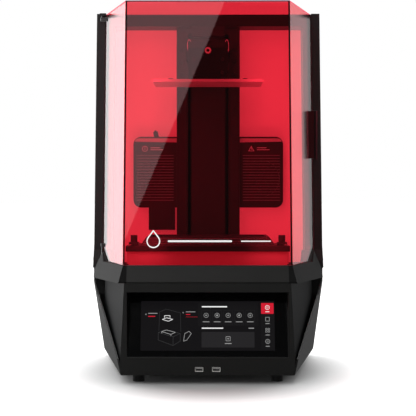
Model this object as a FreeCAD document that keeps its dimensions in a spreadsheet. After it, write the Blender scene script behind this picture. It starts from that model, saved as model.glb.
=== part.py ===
import FreeCAD, Part
import Sketcher
import math
import os
import re

# Desktop resin printer: a dark body on four feet with a tilted touch screen, a red clear door in
# front of a tall build chamber, a Z tower with the build plate, and a shallow resin tank over a
# projector.  Millimetres, X to the right, Y to the back, Z up, origin under the middle of the feet.

doc = FreeCAD.newDocument("ResinPrinter")
sheet = doc.addObject("Spreadsheet::Sheet", "Dims")

# The driving sizes.  Everything else is worked out from these.
SIZES = {
    # overall
    "body_width": 447,
    "body_height": 692,
    "body_depth": 400,
    "foot_height": 16,
    "foot_dia": 22,
    "wall": 3,
    # front of the body, measured up from the floor
    "chin_height": 214.5,
    "crease_height": 186,
    "crease_reach": 12,
    "band_height": 42,
    "recess_low": 48,
    "recess_high": 167,
    "recess_inset": 78,
    "screen_tilt": 17,
    "cheek_top": 183,
    "cheek_back": 140,
    "tab_low": 152,
    "shoulder_low": 201,
    "shoulder_high": 247,
    # door
    "shoulder_step": 70.5,
    "door_draft": 5.5,
    "door_gap": 1,
    "panel_thick": 3,
    "facet_run": 50,
    "facet_depth": 168,
    "facet_bend": 125,
    "facet_rise": 0.6,
    # uprights and rear housing, depths measured back from the door's front face
    "upright_front": 160,
    "upright_draft": 6,
    "upright_width": 16.2,
    "post_front": 172,
    "chamber_back": 225,
    "crossbar_height": 20,
    # vertical drive
    "tower_width": 123,
    "tower_front": 182,
    "screw_dia": 10,
    "screw_back": 21,
    "motor_size": 42,
    "carriage_drop": 35,
    "carriage_height": 68,
    "run_gap": 0.05,
    # build plate and tank
    "plate_width": 204,
    "plate_depth": 112,
    "plate_drop": 9.5,
    "plate_thick": 5,
    "plate_front": 60,
    "bracket_width": 75,
    "platform_low": 238,
    "platform_high": 248,
    "tank_gap": 6,
    "tank_height": 16.5,
    "platform_gap": 2,
    # chamber heaters
    "heater_in": 62,
    "heater_width": 85,
    "heater_low": 317,
    "heater_height": 139,
    "heater_thick": 30,
    "heater_round": 15,
    "louver_count": 17,
    "louver_pitch": 5.5,
}
for row, (word, number) in enumerate(SIZES.items(), start=1):
    sheet.set("A%d" % row, word)
    sheet.set("B%d" % row, str(number))
    sheet.setAlias("B%d" % row, word)
doc.recompute()

WORDS = re.compile(r"\b(" + "|".join(sorted(SIZES, key=len, reverse=True)) + r")\b")


def text(size):
    """An expression on the sheet's sizes, ready for setExpression."""
    return WORDS.sub(r"Dims.\1", str(size))


def value(size):
    return float(sheet.evalExpression(text(size)))


def bind(thing, prop, size):
    thing.setExpression(prop, text(size))


# ---------------------------------------------------------------- solids

PLANES = {"XY": "XY_Plane", "YZ": "YZ_Plane", "XZ": "XZ_Plane"}


def sketch(body, plane, points, lift):
    """A closed outline on one of the body's planes, every corner held by two bound distances."""
    drawn = body.newObject("Sketcher::SketchObject", "Outline")
    for origin in body.Origin.OriginFeatures:
        if origin.Role == PLANES[plane]:
            drawn.AttachmentSupport = [(origin, "")]
    drawn.MapMode = "FlatFace"
    bind(drawn, "AttachmentOffset.Base.z", lift)
    spots = [FreeCAD.Vector(value(a), value(b), 0) for a, b in points]
    count = len(points)
    for i in range(count):
        drawn.addGeometry(Part.LineSegment(spots[i], spots[(i + 1) % count]))
    for i in range(count):
        drawn.addConstraint(Sketcher.Constraint("Coincident", i, 2, (i + 1) % count, 1))
    for i, pair in enumerate(points):
        for kind, size, number in zip(("DistanceX", "DistanceY"), pair, (spots[i].x, spots[i].y)):
            held = drawn.addConstraint(Sketcher.Constraint(kind, -1, 1, i, 1, number))
            drawn.setExpression("Constraints[%d]" % held, text(size))
    return drawn


def prism(name, plane, points, low, high):
    """An outline drawn at low and padded to high along the plane's normal."""
    body = doc.addObject("PartDesign::Body", name)
    body.Label = name
    drawn = sketch(body, plane, points, low)
    pad = body.newObject("PartDesign::Pad", "Pad")
    pad.Profile = drawn
    bind(pad, "Length", "(%s) - (%s)" % (high, low))
    return body


def loft(name, low, low_points, high, high_points):
    """A straight-sided solid between two level outlines with the same number of corners."""
    body = doc.addObject("PartDesign::Body", name)
    body.Label = name
    first = sketch(body, "XY", low_points, low)
    last = sketch(body, "XY", high_points, high)
    shape = body.newObject("PartDesign::AdditiveLoft", "Loft")
    shape.Profile = first
    shape.Sections = [last]
    shape.Ruled = True
    return body


def box(name, xs, ys, zs):
    made = doc.addObject("Part::Box", name)
    made.Label = name
    for side, axis, (low, high) in zip(("Length", "Width", "Height"), "xyz", (xs, ys, zs)):
        bind(made, side, "(%s) - (%s)" % (high, low))
        bind(made, "Placement.Base.%s" % axis, low)
    return made


TURNS = {
    "X": FreeCAD.Rotation(FreeCAD.Vector(0, 1, 0), 90),
    "Y": FreeCAD.Rotation(FreeCAD.Vector(1, 0, 0), -90),
    "Z": FreeCAD.Rotation(),
}


def rod(name, axis, centre, radius, low, high):
    """A cylinder along one axis.  centre holds the other two coordinates, in X, Y, Z order."""
    made = doc.addObject("Part::Cylinder", name)
    made.Label = name
    made.Placement = FreeCAD.Placement(FreeCAD.Vector(), TURNS[axis])
    bind(made, "Radius", radius)
    bind(made, "Height", "(%s) - (%s)" % (high, low))
    spots = list(centre)
    spots.insert("XYZ".index(axis), low)
    for letter, size in zip("xyz", spots):
        bind(made, "Placement.Base.%s" % letter, size)
    return made


def leaning(name, xs, foot_y, foot_z, back, rise):
    """A box leaning back by the screen's tilt, set out from the glass's lower front edge."""
    made = doc.addObject("Part::Box", name)
    made.Label = name
    turn = FreeCAD.Rotation(FreeCAD.Vector(1, 0, 0), -value("screen_tilt"))
    made.Placement = FreeCAD.Placement(FreeCAD.Vector(), turn)
    bind(made, "Placement.Rotation.Angle", "screen_tilt")
    made.Placement.Rotation.Axis = FreeCAD.Vector(-1, 0, 0)
    lean = ("cos(screen_tilt)", "sin(screen_tilt)")
    bind(made, "Length", "(%s) - (%s)" % (xs[1], xs[0]))
    bind(made, "Width", "(%s) - (%s)" % (back[1], back[0]))
    bind(made, "Height", "(%s) - (%s)" % (rise[1], rise[0]))
    bind(made, "Placement.Base.x", xs[0])
    bind(made, "Placement.Base.y", "%s + (%s)*%s + (%s)*%s" % (foot_y, back[0], lean[0], rise[0], lean[1]))
    bind(made, "Placement.Base.z", "%s - (%s)*%s + (%s)*%s" % (foot_z, back[0], lean[1], rise[0], lean[0]))
    return made


def fuse(name, *parts):
    made = doc.addObject("Part::MultiFuse", name)
    made.Label = name
    made.Shapes = list(parts)
    made.Refine = True
    return made


def common(name, *parts):
    made = doc.addObject("Part::MultiCommon", name)
    made.Label = name
    made.Shapes = list(parts)
    return made


def cut(name, base, *tools):
    made = doc.addObject("Part::Cut", name)
    made.Label = name
    made.Base = base
    made.Tool = tools[0] if len(tools) == 1 else fuse(name + "_tools", *tools)
    made.Refine = True
    return made


def group(name, *parts):
    """Separate solids kept as one node: the same fastener or fitting more than once."""
    made = doc.addObject("Part::Compound", name)
    made.Label = name
    made.Links = list(parts)
    return made


# ---------------------------------------------------------------- shared lines

NODES = []


def node(thing):
    NODES.append(thing)
    return thing


def depth(back):
    """A Y position, given as the distance behind the door's front face."""
    return "(-body_depth/2 + crease_reach + (%s))" % back


def rear(inward=0):
    return "(body_depth/2 - (%s))" % inward


def both(outline):
    """A closed outline from its right-hand corners, front to back."""
    right = [(x, y) for x, y in outline]
    left = [("-(%s)" % x, y) for x, y in reversed(outline)]
    return right + left


def sided(side, outline):
    """The outline on the right, or its mirror on the left."""
    if side > 0:
        return list(outline)
    return [("-(%s)" % x, y) for x, y in reversed(outline)]


def span(side, low, high):
    """An X range on one side."""
    if side > 0:
        return (low, high)
    return ("-(%s)" % high, "-(%s)" % low)


SIDES = {"left": -1, "right": 1}
HALF = "(body_width/2)"
DOOR_HALF = "(body_width/2 - shoulder_step)"
ROOF_LOW = "(body_height - panel_thick)"
CAP_LOW = ROOF_LOW
CROSSBAR_LOW = "(body_height - panel_thick - crossbar_height)"
CARRIAGE_HIGH = "(%s - carriage_drop)" % CROSSBAR_LOW
CARRIAGE_LOW = "(%s - carriage_height)" % CARRIAGE_HIGH
PLATE_TOP = "(%s - plate_drop)" % CARRIAGE_LOW


def door_half(height):
    """Half the width of the door's front face at one height: it narrows going up."""
    return "(%s - door_draft*((%s) - chin_height)/(body_height - chin_height))" % (DOOR_HALF, height)


FACET_SLOPE = "(facet_run/facet_depth)"
FACET_WALL = "(panel_thick*sqrt(1 + (facet_run/facet_depth)^2))"


def facet_line(height, back, inset=0):
    """X on the outer face of a door facet."""
    return "(%s + %s*(%s) - (%s))" % (door_half(height), FACET_SLOPE, back, inset)


def collar_line(height, back, inset=0):
    """X on the sloping outer face of the collar that the door sits on."""
    return "(%s + 0.378*(%s) - 0.405*((%s) - chin_height) - (%s))" % (DOOR_HALF, back, height, inset)


def flank_line(height, back, inset=0):
    """X on the slanted lower flank, which runs from a narrow front to a wide back."""
    return "(%s + 4 + 0.171*(%s) + 0.232*((%s) - foot_height) - (%s))" % (DOOR_HALF, back, height, inset)


# ---------------------------------------------------------------- base

pan_top = "(foot_height + wall)"
pan_back = "(body_depth - crease_reach - 18)"
pan_outline = []
for level in ("foot_height", pan_top):
    pan_outline.append(both([
        (flank_line(level, "wall + 1", "wall + 0.2"), depth("wall + 1")),
        (flank_line(level, pan_back, "wall + 0.2"), depth(pan_back)),
        (flank_line(level, pan_back, "wall + 0.2"), rear("wall")),
    ]))
node(loft("base_pan", "foot_height", pan_outline[0], pan_top, pan_outline[1]))

foot_spots = [("%s - 26" % DOOR_HALF, depth(40)), ("%s + 4" % DOOR_HALF, depth(340))]
feet = []
for x, y in foot_spots:
    for sign in ("", "-"):
        feet.append(rod("foot", "Z", ("%s(%s)" % (sign, x), y), "foot_dia/2", 0, "foot_height"))
node(group("feet", *feet))

# Front bezel: the lower band, the sloping face above it, and the pocket that holds the screen.
band = loft(
    "band",
    "foot_height",
    both([(DOOR_HALF + " + 4", depth(0)), (DOOR_HALF + " + 4", depth("wall + 1"))]),
    "band_height",
    both([(DOOR_HALF + " + 5", depth(-2)), (DOOR_HALF + " + 5", depth("wall - 1"))]),
)
face = loft(
    "face",
    "band_height",
    both([(DOOR_HALF + " + 5", depth(-2)), (DOOR_HALF + " + 5", depth("wall - 1"))]),
    "cheek_top",
    both([(DOOR_HALF + " - 3", depth(-11.8)), (DOOR_HALF + " - 3", depth("wall - 10.8"))]),
)
RECESS_HALF = "(body_width/2 - recess_inset)"
pocket_block = prism(
    "pocket_block",
    "YZ",
    [(depth(1.7), "recess_low - 3"), (depth(-7), "recess_high + 3"),
     (depth(52), "recess_high + 3"), (depth(18), "recess_low - 3")],
    "-(%s + 1.2)" % RECESS_HALF,
    "%s + 1.2" % RECESS_HALF,
)
glass_foot = (depth(0.5), "(recess_low + 1.5)")
glass_rise = "((recess_high - recess_low - 4)/cos(screen_tilt))"
pocket_back = "(0.2 + (recess_high - recess_low)*tan(screen_tilt))"
pocket = prism(
    "pocket",
    "YZ",
    [(depth(-30), "recess_low"), (depth(-30), "recess_high"),
     (depth(pocket_back), "recess_high"), (depth(0.2), "recess_low")],
    "-" + RECESS_HALF,
    RECESS_HALF,
)
GLASS_HALF = "(%s - 0.5)" % RECESS_HALF
LCD_HALF = "(%s - 19)" % RECESS_HALF
glass_span = ("-" + GLASS_HALF, GLASS_HALF)
lcd_span = ("-" + LCD_HALF, LCD_HALF)
lcd_rise = ("9", "(%s - 10)" % glass_rise)
glass_seat = leaning("glass_seat", glass_span, *glass_foot, ("0", "2"), ("0", glass_rise))
lcd_seat = leaning("lcd_seat", lcd_span, *glass_foot, ("2", "8"), lcd_rise)
PORT_X = 15.5
port_zs = ("foot_height + 7", "foot_height + 15")
port_slots = []
for sign in (-1, 1):
    across = ("%s - 7.25" % (sign * PORT_X), "%s + 7.25" % (sign * PORT_X))
    port_slots.append(box("port_slot", across, (depth(-10), depth(10)), port_zs))
node(cut("front_bezel", fuse("bezel_block", band, face, pocket_block),
         pocket, glass_seat, lcd_seat, *port_slots))
node(leaning("touch_glass", glass_span, *glass_foot, ("0", "2"), ("0", glass_rise)))
node(leaning("lcd_module", lcd_span, *glass_foot, ("2", "8"), lcd_rise))

ports = []
for sign in (-1, 1):
    spot = sign * PORT_X
    shell = box("port_shell", ("%s - 7.25" % spot, "%s + 7.25" % spot), (depth(-1.6), depth(16)), port_zs)
    mouth = box("port_mouth", ("%s - 6.25" % spot, "%s + 6.25" % spot), (depth(-3), depth(13)),
                ("foot_height + 8.2", "foot_height + 13.8"))
    tongue = box("port_tongue", ("%s - 5.5" % spot, "%s + 5.5" % spot), (depth(1), depth(13.5)),
                 ("foot_height + 11.5", "foot_height + 13.2"))
    ports.append(fuse("port", cut("port_tube", shell, mouth), tongue))
node(group("usb_ports", *ports))

# Collar: a chin along the front and an arm down each side, its outer face sloping in going up.
CHIN_HALF = "(%s - 7)" % DOOR_HALF
node(prism(
    "collar_front",
    "YZ",
    [(depth("-crease_reach"), "crease_height"), (depth(0), "chin_height"),
     (depth(14), "chin_height"), (depth(14), "cheek_top"), (depth("-crease_reach + 1"), "cheek_top")],
    "-" + CHIN_HALF,
    CHIN_HALF,
))
bend_top = "(chin_height + facet_rise*(upright_front - facet_bend))"
PIN_X = "(%s + facet_run + 1)" % DOOR_HALF
PIN_BACK = "(upright_front - 4)"
pin_seat_low = "(chin_height - 4)"
TAB_BACK = "(upright_front + 6)"
for word, side in SIDES.items():
    slab = loft(
        "arm_slab",
        "cheek_top",
        sided(side, [(collar_line("cheek_top", "-crease_reach - 2"), depth("-crease_reach - 2")),
                     (collar_line("cheek_top", "upright_front"), depth("upright_front")),
                     (collar_line("cheek_top", "upright_front", 24), depth("upright_front")),
                     (collar_line("cheek_top", "-crease_reach - 2", 24), depth("-crease_reach - 2"))]),
        "shoulder_high",
        sided(side, [(collar_line("shoulder_high", "-crease_reach - 2"), depth("-crease_reach - 2")),
                     (collar_line("shoulder_high", "upright_front"), depth("upright_front")),
                     (collar_line("shoulder_high", "upright_front", 24), depth("upright_front")),
                     (collar_line("shoulder_high", "-crease_reach - 2", 24), depth("-crease_reach - 2"))]),
    )
    profile = prism(
        "arm_profile",
        "YZ",
        [(depth("-crease_reach"), "crease_height"), (depth(0), "chin_height"),
         (depth("facet_bend"), "chin_height"), (depth("upright_front"), bend_top),
         (depth("upright_front"), "cheek_top"), (depth("-crease_reach + 1"), "cheek_top")],
        span(side, CHIN_HALF, HALF + " - 2.5")[0],
        span(side, CHIN_HALF, HALF + " - 2.5")[1],
    )
    # Below the arm a tab closes the corner behind the cheek, and a flange the joint with the side shell.
    tab_lines = []
    for level in ("tab_low", "cheek_top"):
        tab_lines.append(sided(side, [
            (flank_line(level, "cheek_back", "wall + 0.7"), depth("cheek_back")),
            (flank_line(level, TAB_BACK, "wall + 2.6"), depth(TAB_BACK)),
            (flank_line(level, TAB_BACK, "wall + 19"), depth(TAB_BACK)),
            (flank_line(level, "cheek_back", "wall + 19"), depth("cheek_back")),
        ]))
    tab = loft("arm_tab", "tab_low", tab_lines[0], "cheek_top", tab_lines[1])
    flange = box("arm_flange", span(side, HALF + " - 24", HALF + " - wall - 2"),
                 (depth("upright_front - 2"), depth(TAB_BACK)), ("cheek_top - 1", "shoulder_low - 0.5"))
    arm_shape = common("arm_shape", slab, profile)
    seat = rod("pin_seat", "Z", ("-" + PIN_X, depth(PIN_BACK)), 2.5, pin_seat_low, "shoulder_high")
    node(cut(word + "_collar_arm", fuse("arm_blank", arm_shape, tab, flange), seat))

# Side shells: folded sheets, a slanted flank in front and an upright side behind it.
for word, side in SIDES.items():
    outline = [
        (depth("wall + 1"), "foot_height"), (rear(), "foot_height"), (rear(), "shoulder_low"),
        (depth("upright_front + 5"), "shoulder_low"), (depth("upright_front + 5"), "shoulder_low - 26"),
        (depth("upright_front - 15"), "shoulder_low - 52"), (depth("wall + 1"), "band_height + 3"),
    ]
    limits = span(side, "60", HALF + " - 1.5")
    blank = prism("shell_blank", "YZ", outline, *limits)
    wedges = []
    for inset in ("0", "wall + 0.2"):
        lines = []
        for level in ("foot_height - 2", "shoulder_low + 2"):
            lines.append(sided(side, [
                ("20", depth(-20)), (flank_line(level, -20, inset), depth(-20)),
                (flank_line(level, "body_depth", inset), depth("body_depth")), ("20", depth("body_depth")),
            ]))
        wedges.append(loft("flank", "foot_height - 2", lines[0], "shoulder_low + 2", lines[1]))
    inner_limit = box("inner_limit", span(side, "20", HALF + " - 1.5 - wall"),
                      (depth(-20), depth("body_depth")), ("foot_height - 2", "shoulder_low + 2"))
    hollow = common("shell_hollow", wedges[1], inner_limit)
    node(cut(word + "_side_shell", common("shell_solid", blank, wedges[0]), hollow))

# Cheeks: the flat faces between the bezel and the flanks, a dark channel behind each one's edge.
for word, side in SIDES.items():
    plate = loft(
        "cheek_plate",
        "band_height",
        sided(side,
              [(DOOR_HALF + " + 5", depth("wall - 1")), (DOOR_HALF + " + 5 + 45", depth("cheek_back")),
                     (DOOR_HALF + " + 2 + 45", depth("cheek_back")),
                     (DOOR_HALF + " + 2", depth("wall - 1"))]),
        "cheek_top",
        sided(side,
              [(DOOR_HALF + " - 3", depth("wall - 10.8")), (DOOR_HALF + " - 3 + 48", depth("cheek_back")),
                     (DOOR_HALF + " - 6 + 48", depth("cheek_back")),
                     (DOOR_HALF + " - 6", depth("wall - 10.8"))]),
    )
    lines = []
    for level in ("foot_height", "cheek_top + 5"):
        lines.append(sided(side, [
            ("20", depth(-20)), (flank_line(level, -20, "wall + 0.7"), depth(-20)),
            (flank_line(level, 200, "wall + 0.7"), depth(200)), ("20", depth(200)),
        ]))
    inside = loft("cheek_limit", "foot_height", lines[0], "cheek_top + 5", lines[1])
    node(common(word + "_cheek", plate, inside))

# Deck between the base and the chamber, with the hole the light comes up through.
DECK_TOP = "(chin_height - 6.5)"
DECK_LOW = "(%s - wall)" % DECK_TOP
POST_IN = "(body_width/2 - 34.5)"
MID_BACK = "(plate_front + plate_depth/2)"
deck_blank = prism(
    "deck_blank",
    "XY",
    both([(collar_line(DECK_TOP, 14, 25), depth(14)),
          (collar_line(DECK_TOP, "upright_front", 25), depth("upright_front")),
          (collar_line(DECK_TOP, "upright_front", 25), depth("post_front - 2")),
          (POST_IN, depth("post_front - 2")), (POST_IN, depth("chamber_back + wall"))]),
    DECK_LOW,
    DECK_TOP,
)
light_hole = box("light_hole", ("-plate_width/2", "plate_width/2"),
                 (depth("plate_front"), depth("plate_front + plate_depth")),
                 (DECK_LOW + " - 1", "platform_high + 5"))
SCREW_Y = depth("tower_front + screw_back")
shaft_hole = rod("shaft_hole", "Z", (0, SCREW_Y), "screw_dia/2 + 3", DECK_LOW + " - 1", DECK_TOP + " + 1")
node(cut("deck_plate", deck_blank, light_hole, shaft_hole))

# Rear base panel with the fan opening and its spider, the inlet's window and a network socket hole.
FAN_X, FAN_Z, FAN_R = 95, 112, 37
INLET_X, INLET_Z = -120, 70
panel = prism(
    "rear_blank",
    "XZ",
    both([(HALF + " - 1.5 - wall - 0.5", "foot_height"), (HALF + " - 1.5 - wall - 0.5", "shoulder_low")]),
    "-" + rear(),
    "-" + rear("wall"),
)
fan_hole = rod("fan_hole", "Y", (FAN_X, FAN_Z), FAN_R, rear(10), rear(-5))
spider_parts = [rod("fan_boss", "Y", (FAN_X, FAN_Z), 11, rear(2), rear())]
spider_parts.append(box("spoke", (FAN_X - FAN_R - 1, FAN_X + FAN_R + 1), (rear(2), rear()),
                        (FAN_Z - 2, FAN_Z + 2)))
spider_parts.append(box("spoke", (FAN_X - 2, FAN_X + 2), (rear(2), rear()),
                        (FAN_Z - FAN_R - 1, FAN_Z + FAN_R + 1)))
for ring in (19, 28):
    outer = rod("ring_out", "Y", (FAN_X, FAN_Z), ring, rear(2), rear())
    inner = rod("ring_in", "Y", (FAN_X, FAN_Z), ring - 2, rear(3), rear(-1))
    spider_parts.append(cut("ring", outer, inner))
fan_axle = rod("fan_axle", "Y", (FAN_X, FAN_Z), 2.5, rear(24), rear(1))
inlet_window = box("inlet_window", (INLET_X - 25, INLET_X + 25), (rear(10), rear(-5)),
                   (INLET_Z - 14, INLET_Z + 14))
net_window = box("net_window", (INLET_X + 45, INLET_X + 61), (rear(10), rear(-5)),
                 (INLET_Z - 7, INLET_Z + 7))
node(fuse("rear_base_panel", cut("rear_sheet", panel, fan_hole, inlet_window, net_window), *spider_parts,
          fan_axle))

net_shell = box("net_shell", (INLET_X + 45, INLET_X + 61), (rear(20), rear()), (INLET_Z - 7, INLET_Z + 7))
net_mouth = box("net_mouth", (INLET_X + 47, INLET_X + 59), (rear(16), rear(-2)),
                (INLET_Z - 5, INLET_Z + 4.5))
node(cut("network_port", net_shell, net_mouth))


def rotor(name, centre, radius, bore, low, high, blades=7):
    """A fan wheel with its axle along Y: a hub, flat blades set at a slant, and a bore."""
    x, z = centre
    hub = rod("hub", "Y", centre, 10, low, high)
    parts = [hub]
    for i in range(blades):
        blade = doc.addObject("Part::Box", "blade")
        blade.Length = radius - 10
        blade.Width = 1.4
        bind(blade, "Height", "(%s) - (%s) - 4" % (high, low))
        spin = 360.0 * i / blades
        lay = FreeCAD.Rotation(FreeCAD.Vector(1, 0, 0), -90)
        turn = FreeCAD.Rotation(FreeCAD.Vector(0, 1, 0), spin)
        pitch = FreeCAD.Rotation(FreeCAD.Vector(1, 0, 0), 28)
        blade.Placement = FreeCAD.Placement(FreeCAD.Vector(), turn.multiply(pitch).multiply(lay))
        reach = 9
        bind(blade, "Placement.Base.x", "%s + %s" % (x, reach * math.cos(math.radians(spin))))
        bind(blade, "Placement.Base.y", "%s + 3" % low)
        bind(blade, "Placement.Base.z", "%s - %s" % (z, reach * math.sin(math.radians(spin))))
        parts.append(blade)
    hole = rod("bore", "Y", centre, bore, "%s - 1" % low, "%s + 1" % high)
    return cut(name, fuse(name + "_blank", *parts), hole)


node(rotor("rear_fan", (FAN_X, FAN_Z), FAN_R - 3, "2.5 + run_gap", rear(18), rear(4)))

# Mains inlet with its socket and the rocker beside it.
inlet_body = box("inlet_body", (INLET_X - 25, INLET_X + 25), (rear(26), rear(0)),
                 (INLET_Z - 14, INLET_Z + 14))
socket = box("socket", (INLET_X - 22, INLET_X + 2), (rear(18), rear(-5)), (INLET_Z - 8, INLET_Z + 8))
rocker_well = box("rocker_well", (INLET_X + 8, INLET_X + 22), (rear(18), rear(-5)),
                  (INLET_Z - 11, INLET_Z + 11))
ROCKER_BACK = 7
rocker_pins = rod("rocker_bores", "X", (rear(ROCKER_BACK), INLET_Z), "1.5 + run_gap", INLET_X + 5.7,
                  INLET_X + 24.3)
earth_pins = []
for offset in (-7, 0, 7):
    earth_pins.append(box("inlet_pin", (INLET_X - 10 + offset - 1, INLET_X - 10 + offset + 1),
                          (rear(19), rear(6)),
                          (INLET_Z - 2, INLET_Z + 2)))
node(fuse("power_inlet", cut("inlet_shell", inlet_body, socket, rocker_well, rocker_pins), *earth_pins))
rocker_blank = prism(
    "rocker_blank",
    "YZ",
    [(rear(12), INLET_Z - 5), (rear(4), INLET_Z - 9.2), (rear(4.6), INLET_Z), (rear(0.2), INLET_Z + 8.6),
     (rear(12), INLET_Z + 5)],
    INLET_X + 8.4,
    INLET_X + 21.6,
)
rocker_axle = rod("rocker_axle", "X", (rear(ROCKER_BACK), INLET_Z), 1.5, INLET_X + 6, INLET_X + 24)
node(fuse("power_switch", rocker_blank, rocker_axle))

# ---------------------------------------------------------------- uprights and rear housing

UP_IN = "(body_width/2 - 2.5 - upright_width)"
UP_OUT = "(body_width/2 - 2.5)"


def drafted(size, height):
    """X on an upright at one height, leaning in going up from the shoulder."""
    return "(%s - upright_draft*((%s) - shoulder_high)/(body_height - shoulder_high))" % (size, height)


def upright_outline(outer, height):
    lean = lambda size: drafted(size, height)
    skin = "%s - wall" % UP_OUT
    return [
        (lean(UP_IN), depth("upright_front")), (lean(outer), depth("upright_front")),
        (lean(outer), rear()), (lean(skin), rear()),
        (lean(skin), depth("chamber_back + wall")), (lean(POST_IN), depth("chamber_back + wall")),
        (lean(POST_IN), depth("post_front")), (lean(UP_IN), depth("post_front")),
    ]


for word, side in SIDES.items():
    column = loft("column", "shoulder_high", sided(side, upright_outline(UP_OUT, "shoulder_high")),
                  CAP_LOW, sided(side, upright_outline(UP_OUT, CAP_LOW)))
    shoulder = loft("shoulder", "shoulder_low", sided(side, upright_outline(HALF, "shoulder_high")),
                    "shoulder_high", sided(side, upright_outline(UP_OUT, "shoulder_high")))
    blank = fuse(word + "_upright", column, shoulder)
    if side > 0:
        scoop = prism(
            "scoop",
            "XY",
            [(drafted(UP_IN, 457), depth("upright_front - 5")),
             (drafted(UP_IN, 457) + " + 11", depth("upright_front - 5")),
             (drafted(UP_IN, 457) + " + 7", depth("upright_front + 6")),
             (drafted(UP_IN, 457), depth("upright_front + 6"))],
            410,
            505,
        )
        scoop_side = box("scoop_side", (drafted(UP_IN, 457) + " - 5", drafted(UP_IN, 457)),
                         (depth("upright_front - 5"), depth("upright_front + 6")), ("410", "505"))
        blank.Label = "upright_blank"
        blank = cut(word + "_upright", blank, scoop, scoop_side)
    node(blank)

# The cap closes the rear housing; small tabs reach forward over the door's left edge for its pin.
NOTCH = "(%s - upright_draft + 0.2)" % UP_IN
cap_outer = drafted(UP_OUT, CAP_LOW)
node(prism(
    "rear_top_cap",
    "XY",
    [(NOTCH, depth("upright_front")), (cap_outer, depth("upright_front")), (cap_outer, rear()),
     ("-" + cap_outer, rear()), ("-" + cap_outer, depth("upright_front")),
     ("-(%s + 5)" % PIN_X, depth("upright_front")), ("-(%s + 5)" % PIN_X, depth(PIN_BACK + " - 5")),
     ("-(%s - 7)" % PIN_X, depth(PIN_BACK + " - 5")), ("-(%s - 7)" % PIN_X, depth("upright_front + 3")),
     ("-" + NOTCH, depth("upright_front + 3")), ("-" + NOTCH, depth("facet_depth + 1.5")),
     (NOTCH, depth("facet_depth + 1.5"))],
    CAP_LOW,
    "body_height",
))
node(loft(
    "top_crossbar",
    CROSSBAR_LOW,
    both([(drafted(POST_IN, CROSSBAR_LOW), depth("facet_depth + 1.5")),
          (drafted(POST_IN, CROSSBAR_LOW), depth("chamber_back + wall"))]),
    CAP_LOW,
    both([(drafted(POST_IN, CAP_LOW), depth("facet_depth + 1.5")),
          (drafted(POST_IN, CAP_LOW), depth("chamber_back + wall"))]),
))
node(loft(
    "chamber_wall",
    DECK_TOP,
    both([(POST_IN, depth("chamber_back")), (POST_IN, depth("chamber_back + wall"))]),
    CROSSBAR_LOW,
    both([(drafted(POST_IN, CROSSBAR_LOW), depth("chamber_back")),
          (drafted(POST_IN, CROSSBAR_LOW), depth("chamber_back + wall"))]),
))
skin = "(%s - wall)" % UP_OUT
cover_blank = loft(
    "cover_blank",
    "shoulder_low",
    both([(drafted(skin, "shoulder_high"), rear("wall")), (drafted(skin, "shoulder_high"), rear())]),
    CAP_LOW,
    both([(drafted(skin, CAP_LOW), rear("wall")), (drafted(skin, CAP_LOW), rear())]),
)
vents = []
for i in range(10):
    vent_low = "%s - %d" % (CAP_LOW, 169 - 12 * i)
    vents.append(box("vent", (-90, 90), (rear(8), rear(-4)), (vent_low, vent_low + " + 5")))
node(cut("rear_cover", cover_blank, *vents))

# ---------------------------------------------------------------- tank and its platform

TANK_IN_X = "(plate_width/2 + tank_gap)"
TANK_FRONT = "(plate_front - 4)"
TANK_REAR = "(plate_front + plate_depth + 4)"
# The plinth stays between the collar arms, and the platform inside the door's facets.
collar_room = prism(
    "collar_room",
    "XY",
    both([(collar_line("chin_height", 0, 25), depth(0)),
          (collar_line("chin_height", "tower_front", 25), depth("tower_front"))]),
    DECK_TOP + " - 1",
    "platform_low + 1",
)
facet_inset = FACET_WALL + " + platform_gap"
door_room = prism(
    "door_room",
    "XY",
    both([(facet_line("platform_high", 0, facet_inset), depth(0)),
          (facet_line("platform_high", "tower_front", facet_inset), depth("tower_front"))]),
    "platform_low - 1",
    "platform_high + 1",
)
plinth_blank = box("plinth_blank", ("-(plate_width/2 + 36)", "plate_width/2 + 36"),
                   (depth("plate_front - 12"), depth("plate_front + plate_depth + 6")),
                   (DECK_TOP, "platform_low"))
plinth_cut = common("plinth_cut", plinth_blank, collar_room)
node(cut("plinth", plinth_cut, light_hole))
platform_blank = box("platform_blank", ("-(plate_width/2 + 49)", "plate_width/2 + 49"),
                     (depth("plate_front - 22"), depth("tower_front - 1")),
                     ("platform_low", "platform_high"))
window_seat = box("window_seat", ("-" + TANK_IN_X, TANK_IN_X), (depth(TANK_FRONT), depth(TANK_REAR)),
                  ("platform_high - 4.5", "platform_high + 1"))
platform_cut = common("platform_cut", platform_blank, door_room)
node(cut("tank_platform", platform_cut, light_hole, window_seat))
node(box("platform_glass", ("-" + TANK_IN_X, TANK_IN_X), (depth(TANK_FRONT), depth(TANK_REAR)),
         ("platform_high - 4.5", "platform_high")))
tank_top = "(platform_high + tank_height)"
tank_blank = loft(
    "tank_blank",
    "platform_high",
    both([("plate_width/2 + 23", depth("plate_front - 16")),
          ("plate_width/2 + 23", depth("tower_front - 1"))]),
    tank_top,
    both([("plate_width/2 + 11.5", depth("plate_front - 9")),
          ("plate_width/2 + 11.5", depth("tower_front - 1"))]),
)
tank_room = box("tank_room", ("-" + TANK_IN_X, TANK_IN_X), (depth(TANK_FRONT), depth(TANK_REAR)),
                ("platform_high - 1", tank_top + " + 1"))
node(cut("resin_tank", tank_blank, tank_room))
node(box("tank_film", ("-" + TANK_IN_X, TANK_IN_X), (depth(TANK_FRONT), depth(TANK_REAR)),
         ("platform_high + 1.7", "platform_high + 2.2")))

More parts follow.
